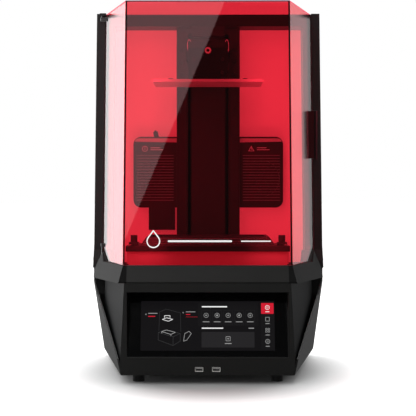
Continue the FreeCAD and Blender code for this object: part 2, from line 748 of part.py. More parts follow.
KNOB_X = "(plate_width/2 + 36)"
KNOB_Y = depth(MID_BACK + " - 40")
blocks = []
for word, side in SIDES.items():
    block = box("clamp_block", span(side, "plate_width/2 + 27", "plate_width/2 + 45"),
                (depth(MID_BACK + " - 52"), depth(MID_BACK + " - 28")),
                ("platform_high", "platform_high + 6"))
    stud = rod("stud", "Z", (span(side, KNOB_X, KNOB_X)[0], KNOB_Y), 2.5, "platform_high + 5",
               "platform_high + 13")
    blocks.append(fuse("clamp", block, stud))
node(group("clamp_blocks", *blocks))
for word, side in SIDES.items():
    centre = (span(side, KNOB_X, KNOB_X)[0], KNOB_Y)
    disc = rod("knob_disc", "Z", centre, 6.4, "platform_high + 6.3", "platform_high + 19")
    flutes = []
    for i in range(6):
        spin = math.radians(60 * i + 30)
        flutes.append(rod("flute", "Z", ("%s + %s" % (centre[0], 7.6 * math.cos(spin)),
                                         "%s + %s" % (centre[1], 7.6 * math.sin(spin))),
                          1.8, "platform_high + 5", "platform_high + 20"))
    bore = rod("knob_bore", "Z", centre, "2.5 + run_gap", "platform_high + 5", "platform_high + 13.3")
    node(cut(word + "_thumb_screw", disc, bore, *flutes))

# ---------------------------------------------------------------- vertical drive

TOWER_HALF = "(tower_width/2)"
CHANNEL = "(tower_width/2 - 21.5)"
tower_blank = box("tower_blank", ("-" + TOWER_HALF, TOWER_HALF),
                  (depth("tower_front"), depth("chamber_back")),
                  (DECK_TOP, CROSSBAR_LOW))
channel = box("channel", ("-" + CHANNEL, CHANNEL), (depth("tower_front - 1"), depth("chamber_back - 6")),
              (DECK_TOP + " + 17", CROSSBAR_LOW + " - 14"))
cover_seat = box("cover_seat", ("-(%s - 7)" % CHANNEL, "%s - 7" % CHANNEL),
                 (depth("tower_front - 1"), depth("tower_front + 2.5")),
                 (DECK_TOP + " + 3", CROSSBAR_LOW + " - 3"))
head = box("tower_head", ("-32", "32"), (depth("tower_front - 12"), depth("tower_front")),
           (CROSSBAR_LOW + " - 19", CROSSBAR_LOW))
SCREW = (0, SCREW_Y)
end_bore = rod("end_bore", "Z", SCREW, "screw_dia/2 + run_gap", DECK_TOP + " - 1", CROSSBAR_LOW + " - 5")
node(cut("z_tower", fuse("tower_body", tower_blank, head), channel, cover_seat, end_bore))
node(box("tower_cover", ("-(%s - 7)" % CHANNEL, "%s - 7" % CHANNEL),
         (depth("tower_front"), depth("tower_front + 2.5")), (DECK_TOP + " + 3", CROSSBAR_LOW + " - 19")))
rails = []
for side in SIDES.values():
    rails.append(box("rail", span(side, 20.5, 29.5),
                     (depth("chamber_back - 12"), depth("chamber_back - 6")),
                     (DECK_TOP + " + 17", CROSSBAR_LOW + " - 14")))
node(group("z_rails", *rails))

MOTOR_TOP = DECK_LOW
motor_body = box("motor_body", ("-motor_size/2", "motor_size/2"),
                 (SCREW_Y + " - motor_size/2", SCREW_Y + " + motor_size/2"),
                 (MOTOR_TOP + " - 40", MOTOR_TOP))
motor_bore = rod("motor_bore", "Z", SCREW, "screw_dia/2 + run_gap", MOTOR_TOP + " - 32", MOTOR_TOP + " + 1")
node(cut("z_motor", motor_body, motor_bore))
node(rod("lead_screw", "Z", SCREW, "screw_dia/2", MOTOR_TOP + " - 31", CROSSBAR_LOW + " - 5.5"))

# Carriage: a plate across the tower, two webs through its slots and a block behind the cover.
carriage_zs = (CARRIAGE_LOW, CARRIAGE_HIGH)
front_plate = box("front_plate", ("-" + TOWER_HALF, TOWER_HALF),
                  (depth("tower_front - 8"), depth("tower_front - 0.5")), carriage_zs)
webs = []
for side in SIDES.values():
    webs.append(box("web", span(side, "%s - 5.5" % CHANNEL, "%s - 0.5" % CHANNEL),
                    (depth("tower_front - 1"), depth("tower_front + 12")), carriage_zs))
rear_block = box("rear_block", ("-(%s - 0.5)" % CHANNEL, "%s - 0.5" % CHANNEL),
                 (depth("tower_front + 9"), depth("chamber_back - 12.5")), carriage_zs)
nut_seat = rod("nut_seat", "Z", SCREW, "screw_dia/2 + 5", CARRIAGE_LOW + " - 1", CARRIAGE_HIGH + " + 1")
node(cut("carriage", fuse("carriage_blank", front_plate, *webs, rear_block), nut_seat))
nut_barrel = rod("nut_barrel", "Z", SCREW, "screw_dia/2 + 5", CARRIAGE_LOW, CARRIAGE_HIGH)
nut_bore = rod("nut_bore", "Z", SCREW, "screw_dia/2 + run_gap", CARRIAGE_LOW + " - 1",
               CARRIAGE_HIGH + " + 1")
node(cut("lead_nut", nut_barrel, nut_bore))

# Bracket from the carriage down to the build plate, with a lever on each side and a lock knob.
BRACKET = "(bracket_width/2)"
bracket_blank = prism(
    "bracket_blank",
    "YZ",
    [(depth("plate_front + 34"), PLATE_TOP + " + 6"), (depth("plate_front + 34"), PLATE_TOP + " + 62"),
     (depth("plate_front + 46"), CARRIAGE_HIGH + " - 1"),
     (depth("tower_front - 8"), CARRIAGE_HIGH + " - 1"),
     (depth("tower_front - 8"), PLATE_TOP + " + 30"), (depth("plate_front + 92"), PLATE_TOP + " + 6")],
    "-" + BRACKET,
    BRACKET,
)
foot_disc = rod("foot_disc", "Z", (0, depth(MID_BACK)), 24, PLATE_TOP, PLATE_TOP + " + 7")
LEVER_Y = depth("plate_front + 52")
LEVER_Z = "(%s + 44)" % PLATE_TOP
lever_bores = []
for side in SIDES.values():
    low, high = span(side, "%s - 8.3" % BRACKET, "%s + 1" % BRACKET)
    lever_bores.append(rod("lever_bore", "X", (LEVER_Y, LEVER_Z), "3 + run_gap", low, high))
KNOB_UP = "(%s + 56)" % PLATE_TOP
knob_axle = rod("lock_axle", "Y", (0, KNOB_UP), 2.5, depth("plate_front + 27"), depth("plate_front + 35"))
node(fuse("plate_bracket",
          cut("bracket_bored", fuse("bracket_mass", bracket_blank, foot_disc), *lever_bores), knob_axle))
for word, side in SIDES.items():
    inner = "%s + 0.4" % BRACKET
    outer = "%s + 3.9" % BRACKET
    across = span(side, inner, outer)
    eye = rod("lever_eye", "X", (LEVER_Y, LEVER_Z), 7, *across)
    blade = box("lever_blade", across, (LEVER_Y + " - 5", LEVER_Y + " + 5"), (LEVER_Z, LEVER_Z + " + 32"))
    tip = rod("lever_tip", "X", (LEVER_Y, LEVER_Z + " + 32"), 5, *across)
    slot = box("lever_slot", span(side, inner + " - 1", outer + " + 1"),
               (LEVER_Y + " - 2.5", LEVER_Y + " + 2.5"),
               (LEVER_Z + " + 9", LEVER_Z + " + 31"))
    axle = rod("lever_axle", "X", (LEVER_Y, LEVER_Z), 3, *span(side, "%s - 8" % BRACKET, outer))
    node(fuse(word + "_plate_lever", cut("lever_frame", fuse("lever_blank", eye, blade, tip), slot), axle))
knob_outer = rod("lock_outer", "Y", (0, KNOB_UP), 7, depth("plate_front + 25"), depth("plate_front + 33.6"))
knob_bore = rod("lock_bore", "Y", (0, KNOB_UP), "2.5 + run_gap", depth("plate_front + 26.7"),
                depth("plate_front + 34"))
knob_dish = rod("lock_dish", "Y", (0, KNOB_UP), 4.5, depth("plate_front + 24"), depth("plate_front + 26"))
grip = box("lock_grip", (-1.2, 1.2), (depth("plate_front + 24.4"), depth("plate_front + 26.4")),
           (KNOB_UP + " - 4.4", KNOB_UP + " + 4.4"))
node(fuse("plate_knob", cut("lock_dished", knob_outer, knob_bore, knob_dish), grip))
node(box("build_plate", ("-plate_width/2", "plate_width/2"),
         (depth("plate_front"), depth("plate_front + plate_depth")),
         (PLATE_TOP + " - plate_thick", PLATE_TOP)))

# ---------------------------------------------------------------- chamber heaters

HEATER_FRONT = "(chamber_back - heater_thick)"
HEATER_TOP = "(heater_low + heater_height)"
for word, side in SIDES.items():
    inner, outer = "heater_in", "heater_in + heater_width"
    ys = (depth(HEATER_FRONT), depth("chamber_back"))
    tall = box("heater_tall", span(side, inner, outer + " - heater_round"), ys, ("heater_low", HEATER_TOP))
    wide = box("heater_wide", span(side, inner, outer), ys,
               ("heater_low + heater_round", HEATER_TOP + " - heater_round"))
    corners = []
    x = outer + " - heater_round"
    for z in ("heater_low + heater_round", HEATER_TOP + " - heater_round"):
        corners.append(rod("heater_corner", "Y", (span(side, x, x)[0], z), "heater_round", *ys))
    slots = []
    for i in range(int(value("louver_count"))):
        low = "heater_low + 11 + louver_pitch*%d" % i
        slots.append(box("louver", span(side, inner + " + 6", outer + " - 6"),
                         (depth(HEATER_FRONT + " - 1"), depth(HEATER_FRONT + " + 2.5")),
                         (low, low + " + 2.9")))
    centre = (span(side, "heater_in + heater_width/2", "heater_in + heater_width/2")[0], "heater_low + 57")
    room = rod("fan_room", "Y", centre, 36, depth(HEATER_FRONT + " + 2.5"), depth("chamber_back - 3"))
    axle = rod("fan_axle", "Y", centre, 2.5, depth(HEATER_FRONT + " + 9"), depth("chamber_back - 2"))
    body = cut("heater_cut", fuse("heater_blank", tall, wide, *corners), room, *slots)
    node(fuse(word + "_heater", body, axle))
    node(rotor(word + "_heater_fan", centre, 33, "2.5 + run_gap",
               depth(HEATER_FRONT + " + 11"), depth("chamber_back - 4")))
node(box("purifier", ("-(heater_in + heater_width - 30)", "-(heater_in + 4)"),
         (depth(HEATER_FRONT), depth("chamber_back")), ("heater_low - 44", "heater_low")))

# ---------------------------------------------------------------- inside the base

projector_box = box("projector_box", (-70, 70), (depth(MID_BACK + " - 50"), depth(MID_BACK + " + 60")),
                    (pan_top, 132))
barrel = rod("lens_barrel", "Z", (0, depth(MID_BACK)), 27, 132, 172)
lens_seat = rod("lens_seat", "Z", (0, depth(MID_BACK)), 21, 166, 173)
lens = rod("lens", "Z", (0, depth(MID_BACK)), 21, 165, 170)
node(fuse("projector", cut("projector_hollow", fuse("projector_blank", projector_box, barrel), lens_seat),
          lens))
board_plate = box("board_plate", (-190, -80), (depth(235), depth(355)),
                  (pan_top + " + 6", pan_top + " + 7.6"))
board_parts = []
for x, y in ((-180, 245), (-90, 245), (-180, 345), (-90, 345)):
    board_parts.append(rod("standoff", "Z", (x, depth(y)), 3, pan_top, pan_top + " + 6"))
for x, y, sx, sy, sz in ((-150, 280, 30, 30, 12), (-110, 300, 16, 40, 8), (-170, 320, 20, 14, 16)):
    board_parts.append(box("chip", (x, x + sx), (depth(y), depth(y + sy)),
                           (pan_top + " + 7", "%s + %s" % (pan_top, 7 + sz))))
node(fuse("mainboard", board_plate, *board_parts))
node(box("power_supply", (20, 130), (depth(235), depth(335)), (pan_top, pan_top + " + 42")))

# ---------------------------------------------------------------- door

DOOR_LOW = "(chin_height + door_gap)"
node(prism(
    "door_front",
    "XZ",
    both([(door_half(DOOR_LOW), DOOR_LOW), (door_half(ROOF_LOW), ROOF_LOW)]),
    "-%s" % depth("panel_thick"),
    "-%s" % depth(0),
))


def facet_outline(height):
    return [
        (facet_line(height, "panel_thick"), depth("panel_thick")),
        (facet_line(height, "facet_depth"), depth("facet_depth")),
        (facet_line(height, "facet_depth", FACET_WALL), depth("facet_depth")),
        (facet_line(height, "panel_thick", FACET_WALL), depth("panel_thick")),
    ]


LUG_Z = (("(%s + door_gap + 5)" % bend_top, 7), ("(body_height - panel_thick - 12)", 7))
for word, side in SIDES.items():
    sheet_part = loft("facet_sheet", DOOR_LOW, sided(side, facet_outline(DOOR_LOW)),
                      ROOF_LOW, sided(side, facet_outline(ROOF_LOW)))
    corner = prism(
        "facet_corner",
        "YZ",
        [(depth("facet_bend"), DOOR_LOW + " - 5"), (depth("facet_bend"), DOOR_LOW),
         (depth("facet_depth + 2"), DOOR_LOW + " + facet_rise*(facet_depth + 2 - facet_bend)"),
         (depth("facet_depth + 2"), DOOR_LOW + " - 5")],
        span(side, "60", HALF)[0],
        span(side, "60", HALF)[1],
    )
    node(cut(word + "_facet", sheet_part, corner))

# Hinge lugs: an eye round each pin and an arm that meets the left facet's outer face.
lugs = []
for low, thick in LUG_Z:
    high = "%s + %s" % (low, thick)
    near, far = PIN_BACK + " - 3.7", PIN_BACK + " + 3.7"
    eye = rod("lug_eye", "Z", ("-" + PIN_X, depth(PIN_BACK)), 3.7, low, high)
    ends = []
    for level in (low, high):
        ends.append([("-" + PIN_X, depth(far)), ("-" + PIN_X, depth(near)),
                     ("-" + facet_line(level, near), depth(near)),
                     ("-" + facet_line(level, far), depth(far))])
    arm = loft("lug_arm", low, ends[0], high, ends[1])
    bore = rod("lug_bore", "Z", ("-" + PIN_X, depth(PIN_BACK)), "2 + run_gap", "%s - 1" % low,
               "%s + 1" % high)
    lugs.append(cut("lug", fuse("lug_blank", eye, arm), bore))
node(group("hinge_lugs", *lugs))

node(prism(
    "door_roof",
    "XY",
    both([(door_half(ROOF_LOW), depth(0)), (facet_line(ROOF_LOW, "facet_depth"), depth("facet_depth"))]),
    ROOF_LOW,
    "body_height",
))
HANDLE_Z = (412, 503)
handle_outline = []
for level in HANDLE_Z:
    handle_outline.append([
        (facet_line(level, "upright_front - 19"), depth("upright_front - 19")),
        (drafted(UP_IN, 457) + " + 2", depth("upright_front - 13")),
        (drafted(UP_IN, 457) + " + 2", depth("upright_front - 2")),
        (facet_line(level, "upright_front - 2"), depth("upright_front - 2")),
    ])
node(loft("door_handle", HANDLE_Z[0], handle_outline[0], HANDLE_Z[1], handle_outline[1]))

lower_shaft = rod("lower_shaft", "Z", ("-" + PIN_X, depth(PIN_BACK)), 2, pin_seat_low, LUG_Z[0][0] + " + 7")
lower_base = rod("lower_base", "Z", ("-" + PIN_X, depth(PIN_BACK)), 2.5, pin_seat_low,
                 LUG_Z[0][0] + " - 0.4")
upper_shaft = rod("upper_shaft", "Z", ("-" + PIN_X, depth(PIN_BACK)), 2, LUG_Z[1][0], CAP_LOW)
upper_base = rod("upper_base", "Z", ("-" + PIN_X, depth(PIN_BACK)), 2.5, LUG_Z[1][0] + " + 7.4", CAP_LOW)
node(group("hinge_pins", fuse("lower_pin", lower_shaft, lower_base),
           fuse("upper_pin", upper_shaft, upper_base)))

# ---------------------------------------------------------------- check and write

doc.recompute()
bad = []
for thing in doc.Objects:
    if "Invalid" in thing.State or "Error" in thing.State:
        bad.append("%s %s" % (thing.Label, thing.State))
for thing in NODES:
    if thing.Shape.isNull() or not thing.Shape.isValid():
        bad.append("%s has no valid shape" % thing.Label)
if bad:
    raise RuntimeError("; ".join(bad))

os.makedirs("parts", exist_ok=True)
for thing in NODES:
    thing.Shape.exportStep("parts/%s.step" % thing.Label)
print(len(NODES), "nodes written")
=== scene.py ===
import math

import bmesh
import bpy
from mathutils import Matrix, Vector


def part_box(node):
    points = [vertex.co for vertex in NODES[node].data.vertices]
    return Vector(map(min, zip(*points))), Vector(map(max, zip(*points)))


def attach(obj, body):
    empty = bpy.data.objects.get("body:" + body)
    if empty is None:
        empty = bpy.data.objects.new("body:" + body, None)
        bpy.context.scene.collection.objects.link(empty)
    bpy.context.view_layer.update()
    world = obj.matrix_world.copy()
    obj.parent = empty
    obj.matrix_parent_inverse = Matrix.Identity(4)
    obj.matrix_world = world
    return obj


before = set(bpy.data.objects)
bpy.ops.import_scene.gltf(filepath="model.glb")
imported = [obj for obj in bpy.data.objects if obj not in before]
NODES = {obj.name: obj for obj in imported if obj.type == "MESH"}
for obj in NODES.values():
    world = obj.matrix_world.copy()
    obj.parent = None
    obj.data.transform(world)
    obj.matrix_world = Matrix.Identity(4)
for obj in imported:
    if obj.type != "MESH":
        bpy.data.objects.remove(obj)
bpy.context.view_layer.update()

scene = bpy.context.scene
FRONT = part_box("door_front")[0][1]
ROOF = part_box("door_roof")[1][2]
MM = 0.001

# ---------------------------------------------------------------- camera

EYE = Vector((0.013, FRONT - 2.15, 0.3436))
AIM = Vector((0.0006, FRONT, 0.3184))
camera_data = bpy.data.cameras.new("camera")
camera_data.lens = 103.2
camera_data.sensor_width = 36
camera_data.clip_end = 60
camera = bpy.data.objects.new("camera", camera_data)
camera.location = EYE
camera.rotation_euler = (AIM - EYE).to_track_quat("-Z", "Y").to_euler()
scene.collection.objects.link(camera)
scene.camera = camera
scene.view_settings.view_transform = "Standard"


# ---------------------------------------------------------------- materials

def fresh(name):
    """A new material: its tree, its Principled shader and its output."""
    made = bpy.data.materials.new(name)
    made.use_nodes = True
    tree = made.node_tree
    return made, tree, tree.nodes["Principled BSDF"], tree.nodes["Material Output"]


def noise(tree, scale, detail=3.0, stretch=(1, 1, 1)):
    """Noise over the object's own coordinates, in metres."""
    place = tree.nodes.new("ShaderNodeTexCoord")
    shape = tree.nodes.new("ShaderNodeMapping")
    shape.inputs["Scale"].default_value = stretch
    made = tree.nodes.new("ShaderNodeTexNoise")
    made.inputs["Scale"].default_value = scale
    made.inputs["Detail"].default_value = detail
    tree.links.new(place.outputs["Object"], shape.inputs["Vector"])
    tree.links.new(shape.outputs["Vector"], made.inputs["Vector"])
    return made


def ranged(tree, source, low, high):
    """The source's middle range spread between two values."""
    made = tree.nodes.new("ShaderNodeMapRange")
    made.inputs["From Min"].default_value = 0.3
    made.inputs["From Max"].default_value = 0.7
    made.inputs["To Min"].default_value = low
    made.inputs["To Max"].default_value = high
    tree.links.new(source, made.inputs["Value"])
    return made.outputs["Result"]


def tinted(tree, source, low, high):
    """A colour between two, by the source."""
    made = tree.nodes.new("ShaderNodeMix")
    made.data_type = "RGBA"
    made.inputs[6].default_value = (*low, 1)
    made.inputs[7].default_value = (*high, 1)
    tree.links.new(source, made.inputs[0])
    return made.outputs[2]


def grained(name, colour, rough, grain=2600, depth=0.02, spread=0.06, metallic=0.0, stretch=(1, 1, 1),
            vary=0.12, shine=0.5):
    """Moulded, painted or machined material: fine grain, broad tone changes and uneven gloss."""
    made, tree, shader, _ = fresh(name)
    fine = noise(tree, grain, 2.0, stretch)
    broad = noise(tree, 14, 4.0)
    dark = tuple(c * (1 - vary) for c in colour)
    light = tuple(min(1.0, c * (1 + vary)) for c in colour)
    tree.links.new(tinted(tree, broad.outputs["Fac"], dark, light), shader.inputs["Base Color"])
    tree.links.new(ranged(tree, fine.outputs["Fac"], rough - spread, rough + spread),
                   shader.inputs["Roughness"])
    bump = tree.nodes.new("ShaderNodeBump")
    bump.inputs["Strength"].default_value = 0.35
    bump.inputs["Distance"].default_value = depth * MM
    tree.links.new(fine.outputs["Fac"], bump.inputs["Height"])
    tree.links.new(bump.outputs["Normal"], shader.inputs["Normal"])
    shader.inputs["Metallic"].default_value = metallic
    shader.inputs["Specular IOR Level"].default_value = shine
    return made


def glowing(name, colour, strength):
    """A lit area of the display."""
    made, _, shader, _ = fresh(name)
    shader.inputs["Base Color"].default_value = (0.002, 0.002, 0.002, 1)
    shader.inputs["Roughness"].default_value = 0.5
    shader.inputs["Specular IOR Level"].default_value = 0.05
    shader.inputs["Emission Color"].default_value = (*colour, 1)
    shader.inputs["Emission Strength"].default_value = strength
    return made


def clear_sheet(name, colour, gloss=0.0, most=1.0):
    """Clear acrylic: each face passes its colour straight through and mirrors more at a slant, up to most."""
    made, tree, shader, output = fresh(name)
    tree.nodes.remove(shader)
    through = tree.nodes.new("ShaderNodeBsdfTransparent")
    through.inputs["Color"].default_value = (*colour, 1)
    mirror = tree.nodes.new("ShaderNodeBsdfGlossy")
    mirror.inputs["Roughness"].default_value = 0.015 + gloss
    slant = tree.nodes.new("ShaderNodeLayerWeight")
    slant.inputs["Blend"].default_value = 0.5
    power = tree.nodes.new("ShaderNodeMath")
    power.operation = "POWER"
    power.inputs[1].default_value = 5
    share = tree.nodes.new("ShaderNodeMapRange")
    share.inputs["To Min"].default_value = 0.04
    share.inputs["To Max"].default_value = most
    mix = tree.nodes.new("ShaderNodeMixShader")
    tree.links.new(slant.outputs["Facing"], power.inputs[0])
    tree.links.new(power.outputs[0], share.inputs["Value"])
    tree.links.new(share.outputs["Result"], mix.inputs[0])
    tree.links.new(through.outputs[0], mix.inputs[1])
    tree.links.new(mirror.outputs[0], mix.inputs[2])
    tree.links.new(mix.outputs[0], output.inputs["Surface"])
    return made


body_black = grained("body_black", (0.015, 0.015, 0.0143), 0.5, 2400, 0.03, shine=0.3)
collar_black = grained("collar_black", (0.011, 0.011, 0.011), 0.55, 2400, 0.03, shine=0.03)
# The cheeks take a darker, duller copy of the body's black: painted shade for their darker look.
cheek_black_painted_shade = grained("cheek_black_painted_shade", (0.0075, 0.0078, 0.0085), 0.6, 1800, 0.03, shine=0.08)
shell_black = grained("shell_black", (0.012, 0.012, 0.012), 0.5, 1800, 0.03, shine=0.3)
flank_black = grained("flank_black", (0.02, 0.02, 0.02), 0.5, 1800, 0.03, shine=0.38)
upright_black = grained("upright_black", (0.013, 0.013, 0.0135), 0.45, 2200, 0.03, shine=0.3)
anodised = grained("anodised_black", (0.019, 0.018, 0.018), 0.38, 3200, 0.012, metallic=0.0,
                   stretch=(1, 1, 0.05))
heater_black = grained("heater_black", (0.022, 0.02, 0.02), 0.5, 1600, 0.03)
# The wall's own paint is pale grey; its red emission below is painted light.
wall_paint_and_painted_glow = grained("wall_paint_and_painted_glow", (0.78, 0.78, 0.78), 0.55, 1500, 0.03, vary=0.02)
CHAMBER_RED = (1, 0.169, 0.235)
# Colour of the red light painted on the plinth.
PLINTH_PAINTED_LIGHT_RED = (1, 0.03, 0.08)
# Strengths of painted light: red glow painted on the wall and on the plinth, white glow painted on the front
# mark.
WALL_PAINTED_GLOW, PLINTH_PAINTED_GLOW, MARK_PAINTED_GLOW = 0.42, 0.27, 0.4
wall_shader = wall_paint_and_painted_glow.node_tree.nodes["Principled BSDF"]
wall_shader.inputs["Emission Color"].default_value = (*CHAMBER_RED, 1)
# The wall glows with painted red light that stands in for the chamber lamps' light, on its front half only,
# so the vents behind it stay dark.
wall_tree = wall_paint_and_painted_glow.node_tree
facing = wall_tree.nodes.new("ShaderNodeTexCoord")
depth_split = wall_tree.nodes.new("ShaderNodeSeparateXYZ")
painted_glow_front_half = wall_tree.nodes.new("ShaderNodeMapRange")
painted_glow_front_half.inputs["From Max"].default_value = 0.5
painted_glow_front_half.inputs["To Min"].default_value = WALL_PAINTED_GLOW
painted_glow_front_half.inputs["To Max"].default_value = 0
wall_tree.links.new(facing.outputs["Generated"], depth_split.inputs[0])
wall_tree.links.new(depth_split.outputs["Y"], painted_glow_front_half.inputs["Value"])
wall_tree.links.new(painted_glow_front_half.outputs["Result"], wall_shader.inputs["Emission Strength"])
# The plinth is painted grey and glows with painted red light on its front, where the chamber lamps don't
# reach.
plinth_paint_and_painted_glow = grained("plinth_paint_and_painted_glow", (0.4, 0.4, 0.4), 0.5, 1500, 0.03, vary=0.03)
plinth_shader = plinth_paint_and_painted_glow.node_tree.nodes["Principled BSDF"]
plinth_shader.inputs["Emission Color"].default_value = (*PLINTH_PAINTED_LIGHT_RED, 1)
plinth_shader.inputs["Emission Strength"].default_value = PLINTH_PAINTED_GLOW
tank_grey = grained("tank_grey", (0.07, 0.07, 0.072), 0.35, 2600, 0.012, metallic=0.6, stretch=(0.05, 1, 1))
blasted = grained("blasted_aluminium", (0.85, 0.85, 0.86), 0.42, 3400, 0.03, metallic=0.2)
steel = grained("ground_steel", (0.6, 0.6, 0.6), 0.28, 2800, 0.01, metallic=1.0, stretch=(1, 1, 0.05))
chromed = grained("plated_steel", (0.75, 0.74, 0.72), 0.3, 2000, 0.006, metallic=0.4)
brass = grained("brass", (0.75, 0.52, 0.2), 0.3, 2000, 0.01, metallic=1.0)
rubber = grained("foot_rubber", (0.012, 0.012, 0.012), 0.75, 900, 0.08)
board_green = grained("board_green", (0.01, 0.1, 0.04), 0.4, 700, 0.03)
lever_black = grained("lever_black", (0.012, 0.011, 0.011), 0.6, 2600, 0.01, shine=0.03)
dark_steel = grained("dark_steel", (0.03, 0.03, 0.03), 0.4, 2600, 0.01, metallic=0.5)
switch_black = grained("switch_black", (0.015, 0.015, 0.015), 0.3, 2600, 0.01)
ACRYLIC = (0.911, 0.374, 0.442)
red_clear = clear_sheet("red_acrylic", ACRYLIC)
red_facet = clear_sheet("red_acrylic_facet", (1.0, 0.374, 0.442), 0.2, 0.6)
red_roof = clear_sheet("red_acrylic_roof", (0.99, 0.4, 0.47), 0.0, 0.05)
handle_red = grained("handle_red", (0.03, 0.004, 0.006), 0.4, 900, 0.01, shine=0.2)
pale_clear = clear_sheet("clear_glass", (0.97, 0.98, 0.98))
film_clear = clear_sheet("tank_film", (0.93, 0.93, 0.9), 0.05)
glass_black, glass_tree, glass_shader, _ = fresh("cover_glass")
glass_shader.inputs["Base Color"].default_value = (0.0022, 0.0023, 0.0026, 1)
glass_shader.inputs["Specular IOR Level"].default_value = 0.35
smudge = noise(glass_tree, 22, 5.0)
glass_tree.links.new(ranged(glass_tree, smudge.outputs["Fac"], 0.05, 0.12),
                     glass_shader.inputs["Roughness"])

FINISH = {
    body_black: ["front_bezel", "collar_front"],
    collar_black: ["left_collar_arm", "right_collar_arm"],
    cheek_black_painted_shade: ["left_cheek", "right_cheek"],
    shell_black: ["base_pan", "rear_base_panel", "rear_cover", "rear_top_cap"],
    flank_black: ["left_side_shell", "right_side_shell"],
    upright_black: ["left_upright", "right_upright", "top_crossbar", "deck_plate"],
    anodised: ["z_tower", "tower_cover", "carriage", "tank_platform", "z_motor", "projector"],
    heater_black: ["left_heater", "right_heater", "purifier", "left_heater_fan", "right_heater_fan",
                   "rear_fan"],
    wall_paint_and_painted_glow: ["chamber_wall"],
    plinth_paint_and_painted_glow: ["plinth"],
    tank_grey: ["resin_tank", "clamp_blocks", "left_thumb_screw", "right_thumb_screw"],
    blasted: ["build_plate"],
    steel: ["z_rails", "lead_screw", "power_supply"],
    chromed: ["usb_ports", "network_port"],
    brass: ["lead_nut"],
    rubber: ["feet"],
    board_green: ["mainboard"],
    switch_black: ["power_inlet", "power_switch", "lcd_module", "hinge_lugs", "hinge_pins"],
    lever_black: ["left_plate_lever", "right_plate_lever", "plate_knob", "plate_bracket"],
    red_clear: ["door_front"],
    red_facet: ["left_facet", "right_facet"],
    red_roof: ["door_roof"],
    handle_red: ["door_handle"],
    pale_clear: ["platform_glass"],
    film_clear: ["tank_film"],
    glass_black: ["touch_glass"],
}
SHARP = {"door_front", "left_facet", "right_facet", "door_roof", "tank_film", "platform_glass",
         "touch_glass",
         "lead_screw", "lead_nut", "left_heater_fan", "right_heater_fan", "rear_fan", "mainboard",
         "usb_ports",
         "network_port", "hinge_pins", "hinge_lugs", "z_motor", "lcd_module"}
ROUNDING = {"front_bezel": 0.8, "collar_front": 1.0, "left_upright": 1.0, "right_upright": 1.0}
for material, names in FINISH.items():
    for name in names:
        node = NODES[name]
        if not node.material_slots:
            node.data.materials.append(material)
        for place in node.material_slots:
            place.link = "OBJECT"
            place.material = material
        if name not in SHARP:
            bevel = node.modifiers.new("edges", "BEVEL")
            bevel.width = ROUNDING.get(name, 0.6) * MM
            bevel.segments = 2
            bevel.limit_method = "ANGLE"
            bevel.angle_limit = math.radians(38)


# ---------------------------------------------------------------- mesh helpers

def piece(name, build, material, body="frame"):
    """A piece whose mesh is filled by build(bmesh), riding on a body."""
    mesh = bpy.data.meshes.new(name)
    bm = bmesh.new()
    build(bm)
    bmesh.ops.recalc_face_normals(bm, faces=bm.faces)
    bm.to_mesh(mesh)
    bm.free()
    made = bpy.data.objects.new(name, mesh)
    mesh.materials.append(material)
    scene.collection.objects.link(made)
    if body == "stage":
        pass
    else:
        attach(made, body)
    return made


def slab(bm, outline, lift, origin, across, up, out):
    """A flat shape with thickness: outline in (across, up) metres, lifted along out between two values."""
    rings = []
    for height in lift:
        ring = [bm.verts.new(origin + across * a + up * b + out * height) for a, b in outline]
        rings.append(ring)
    bm.faces.new(rings[0])
    bm.faces.new(list(reversed(rings[1])))
    count = len(outline)
    for i in range(count):
        bm.faces.new((rings[0][i], rings[1][i], rings[1][(i + 1) % count], rings[0][(i + 1) % count]))


def rectangle(left, right, low, high):
    return [(left, low), (right, low), (right, high), (left, high)]


def rounded(left, right, low, high, radius, steps=5):
    """A rectangle with round corners."""
    made = []
    corners = ((right, low, -90), (right, high, 0), (left, high, 90), (left, low, 180))
    for x, y, start in corners:
        cx = x - radius if x == right else x + radius
        cy = y - radius if y == high else y + radius
        for i in range(steps + 1):
            turn = math.radians(start + 90 * i / steps)
            made.append((cx + radius * math.cos(turn), cy + radius * math.sin(turn)))
    return made


def round_shape(x, y, radius, steps=24):
    return [(x + radius * math.cos(2 * math.pi * i / steps), y + radius * math.sin(2 * math.pi * i / steps))
            for i in range(steps)]


def ring_shape(bm, outer, inner, lift, origin, across, up, out):
    """A flat band between two outlines with the same number of corners."""
    loops = []
    for height in lift:
        for outline in (outer, inner):
            loops.append([bm.verts.new(origin + across * a + up * b + out * height) for a, b in outline])
    count = len(outer)
    for i in range(count):
        j = (i + 1) % count
        bm.faces.new((loops[0][i], loops[0][j], loops[1][j], loops[1][i]))
        bm.faces.new((loops[2][i], loops[3][i], loops[3][j], loops[2][j]))
        bm.faces.new((loops[0][i], loops[2][i], loops[2][j], loops[0][j]))
        bm.faces.new((loops[1][i], loops[1][j], loops[3][j], loops[3][i]))


def bar(bm, start, end, width, thick, out):
    """A straight bar from start to end, width across and thick along out."""
    along = (end - start)
    length = along.length
    along.normalize()
    side = along.cross(out).normalized()
    slab(bm, rectangle(0, length, -width / 2, width / 2), (0, thick), start, along, side, out)


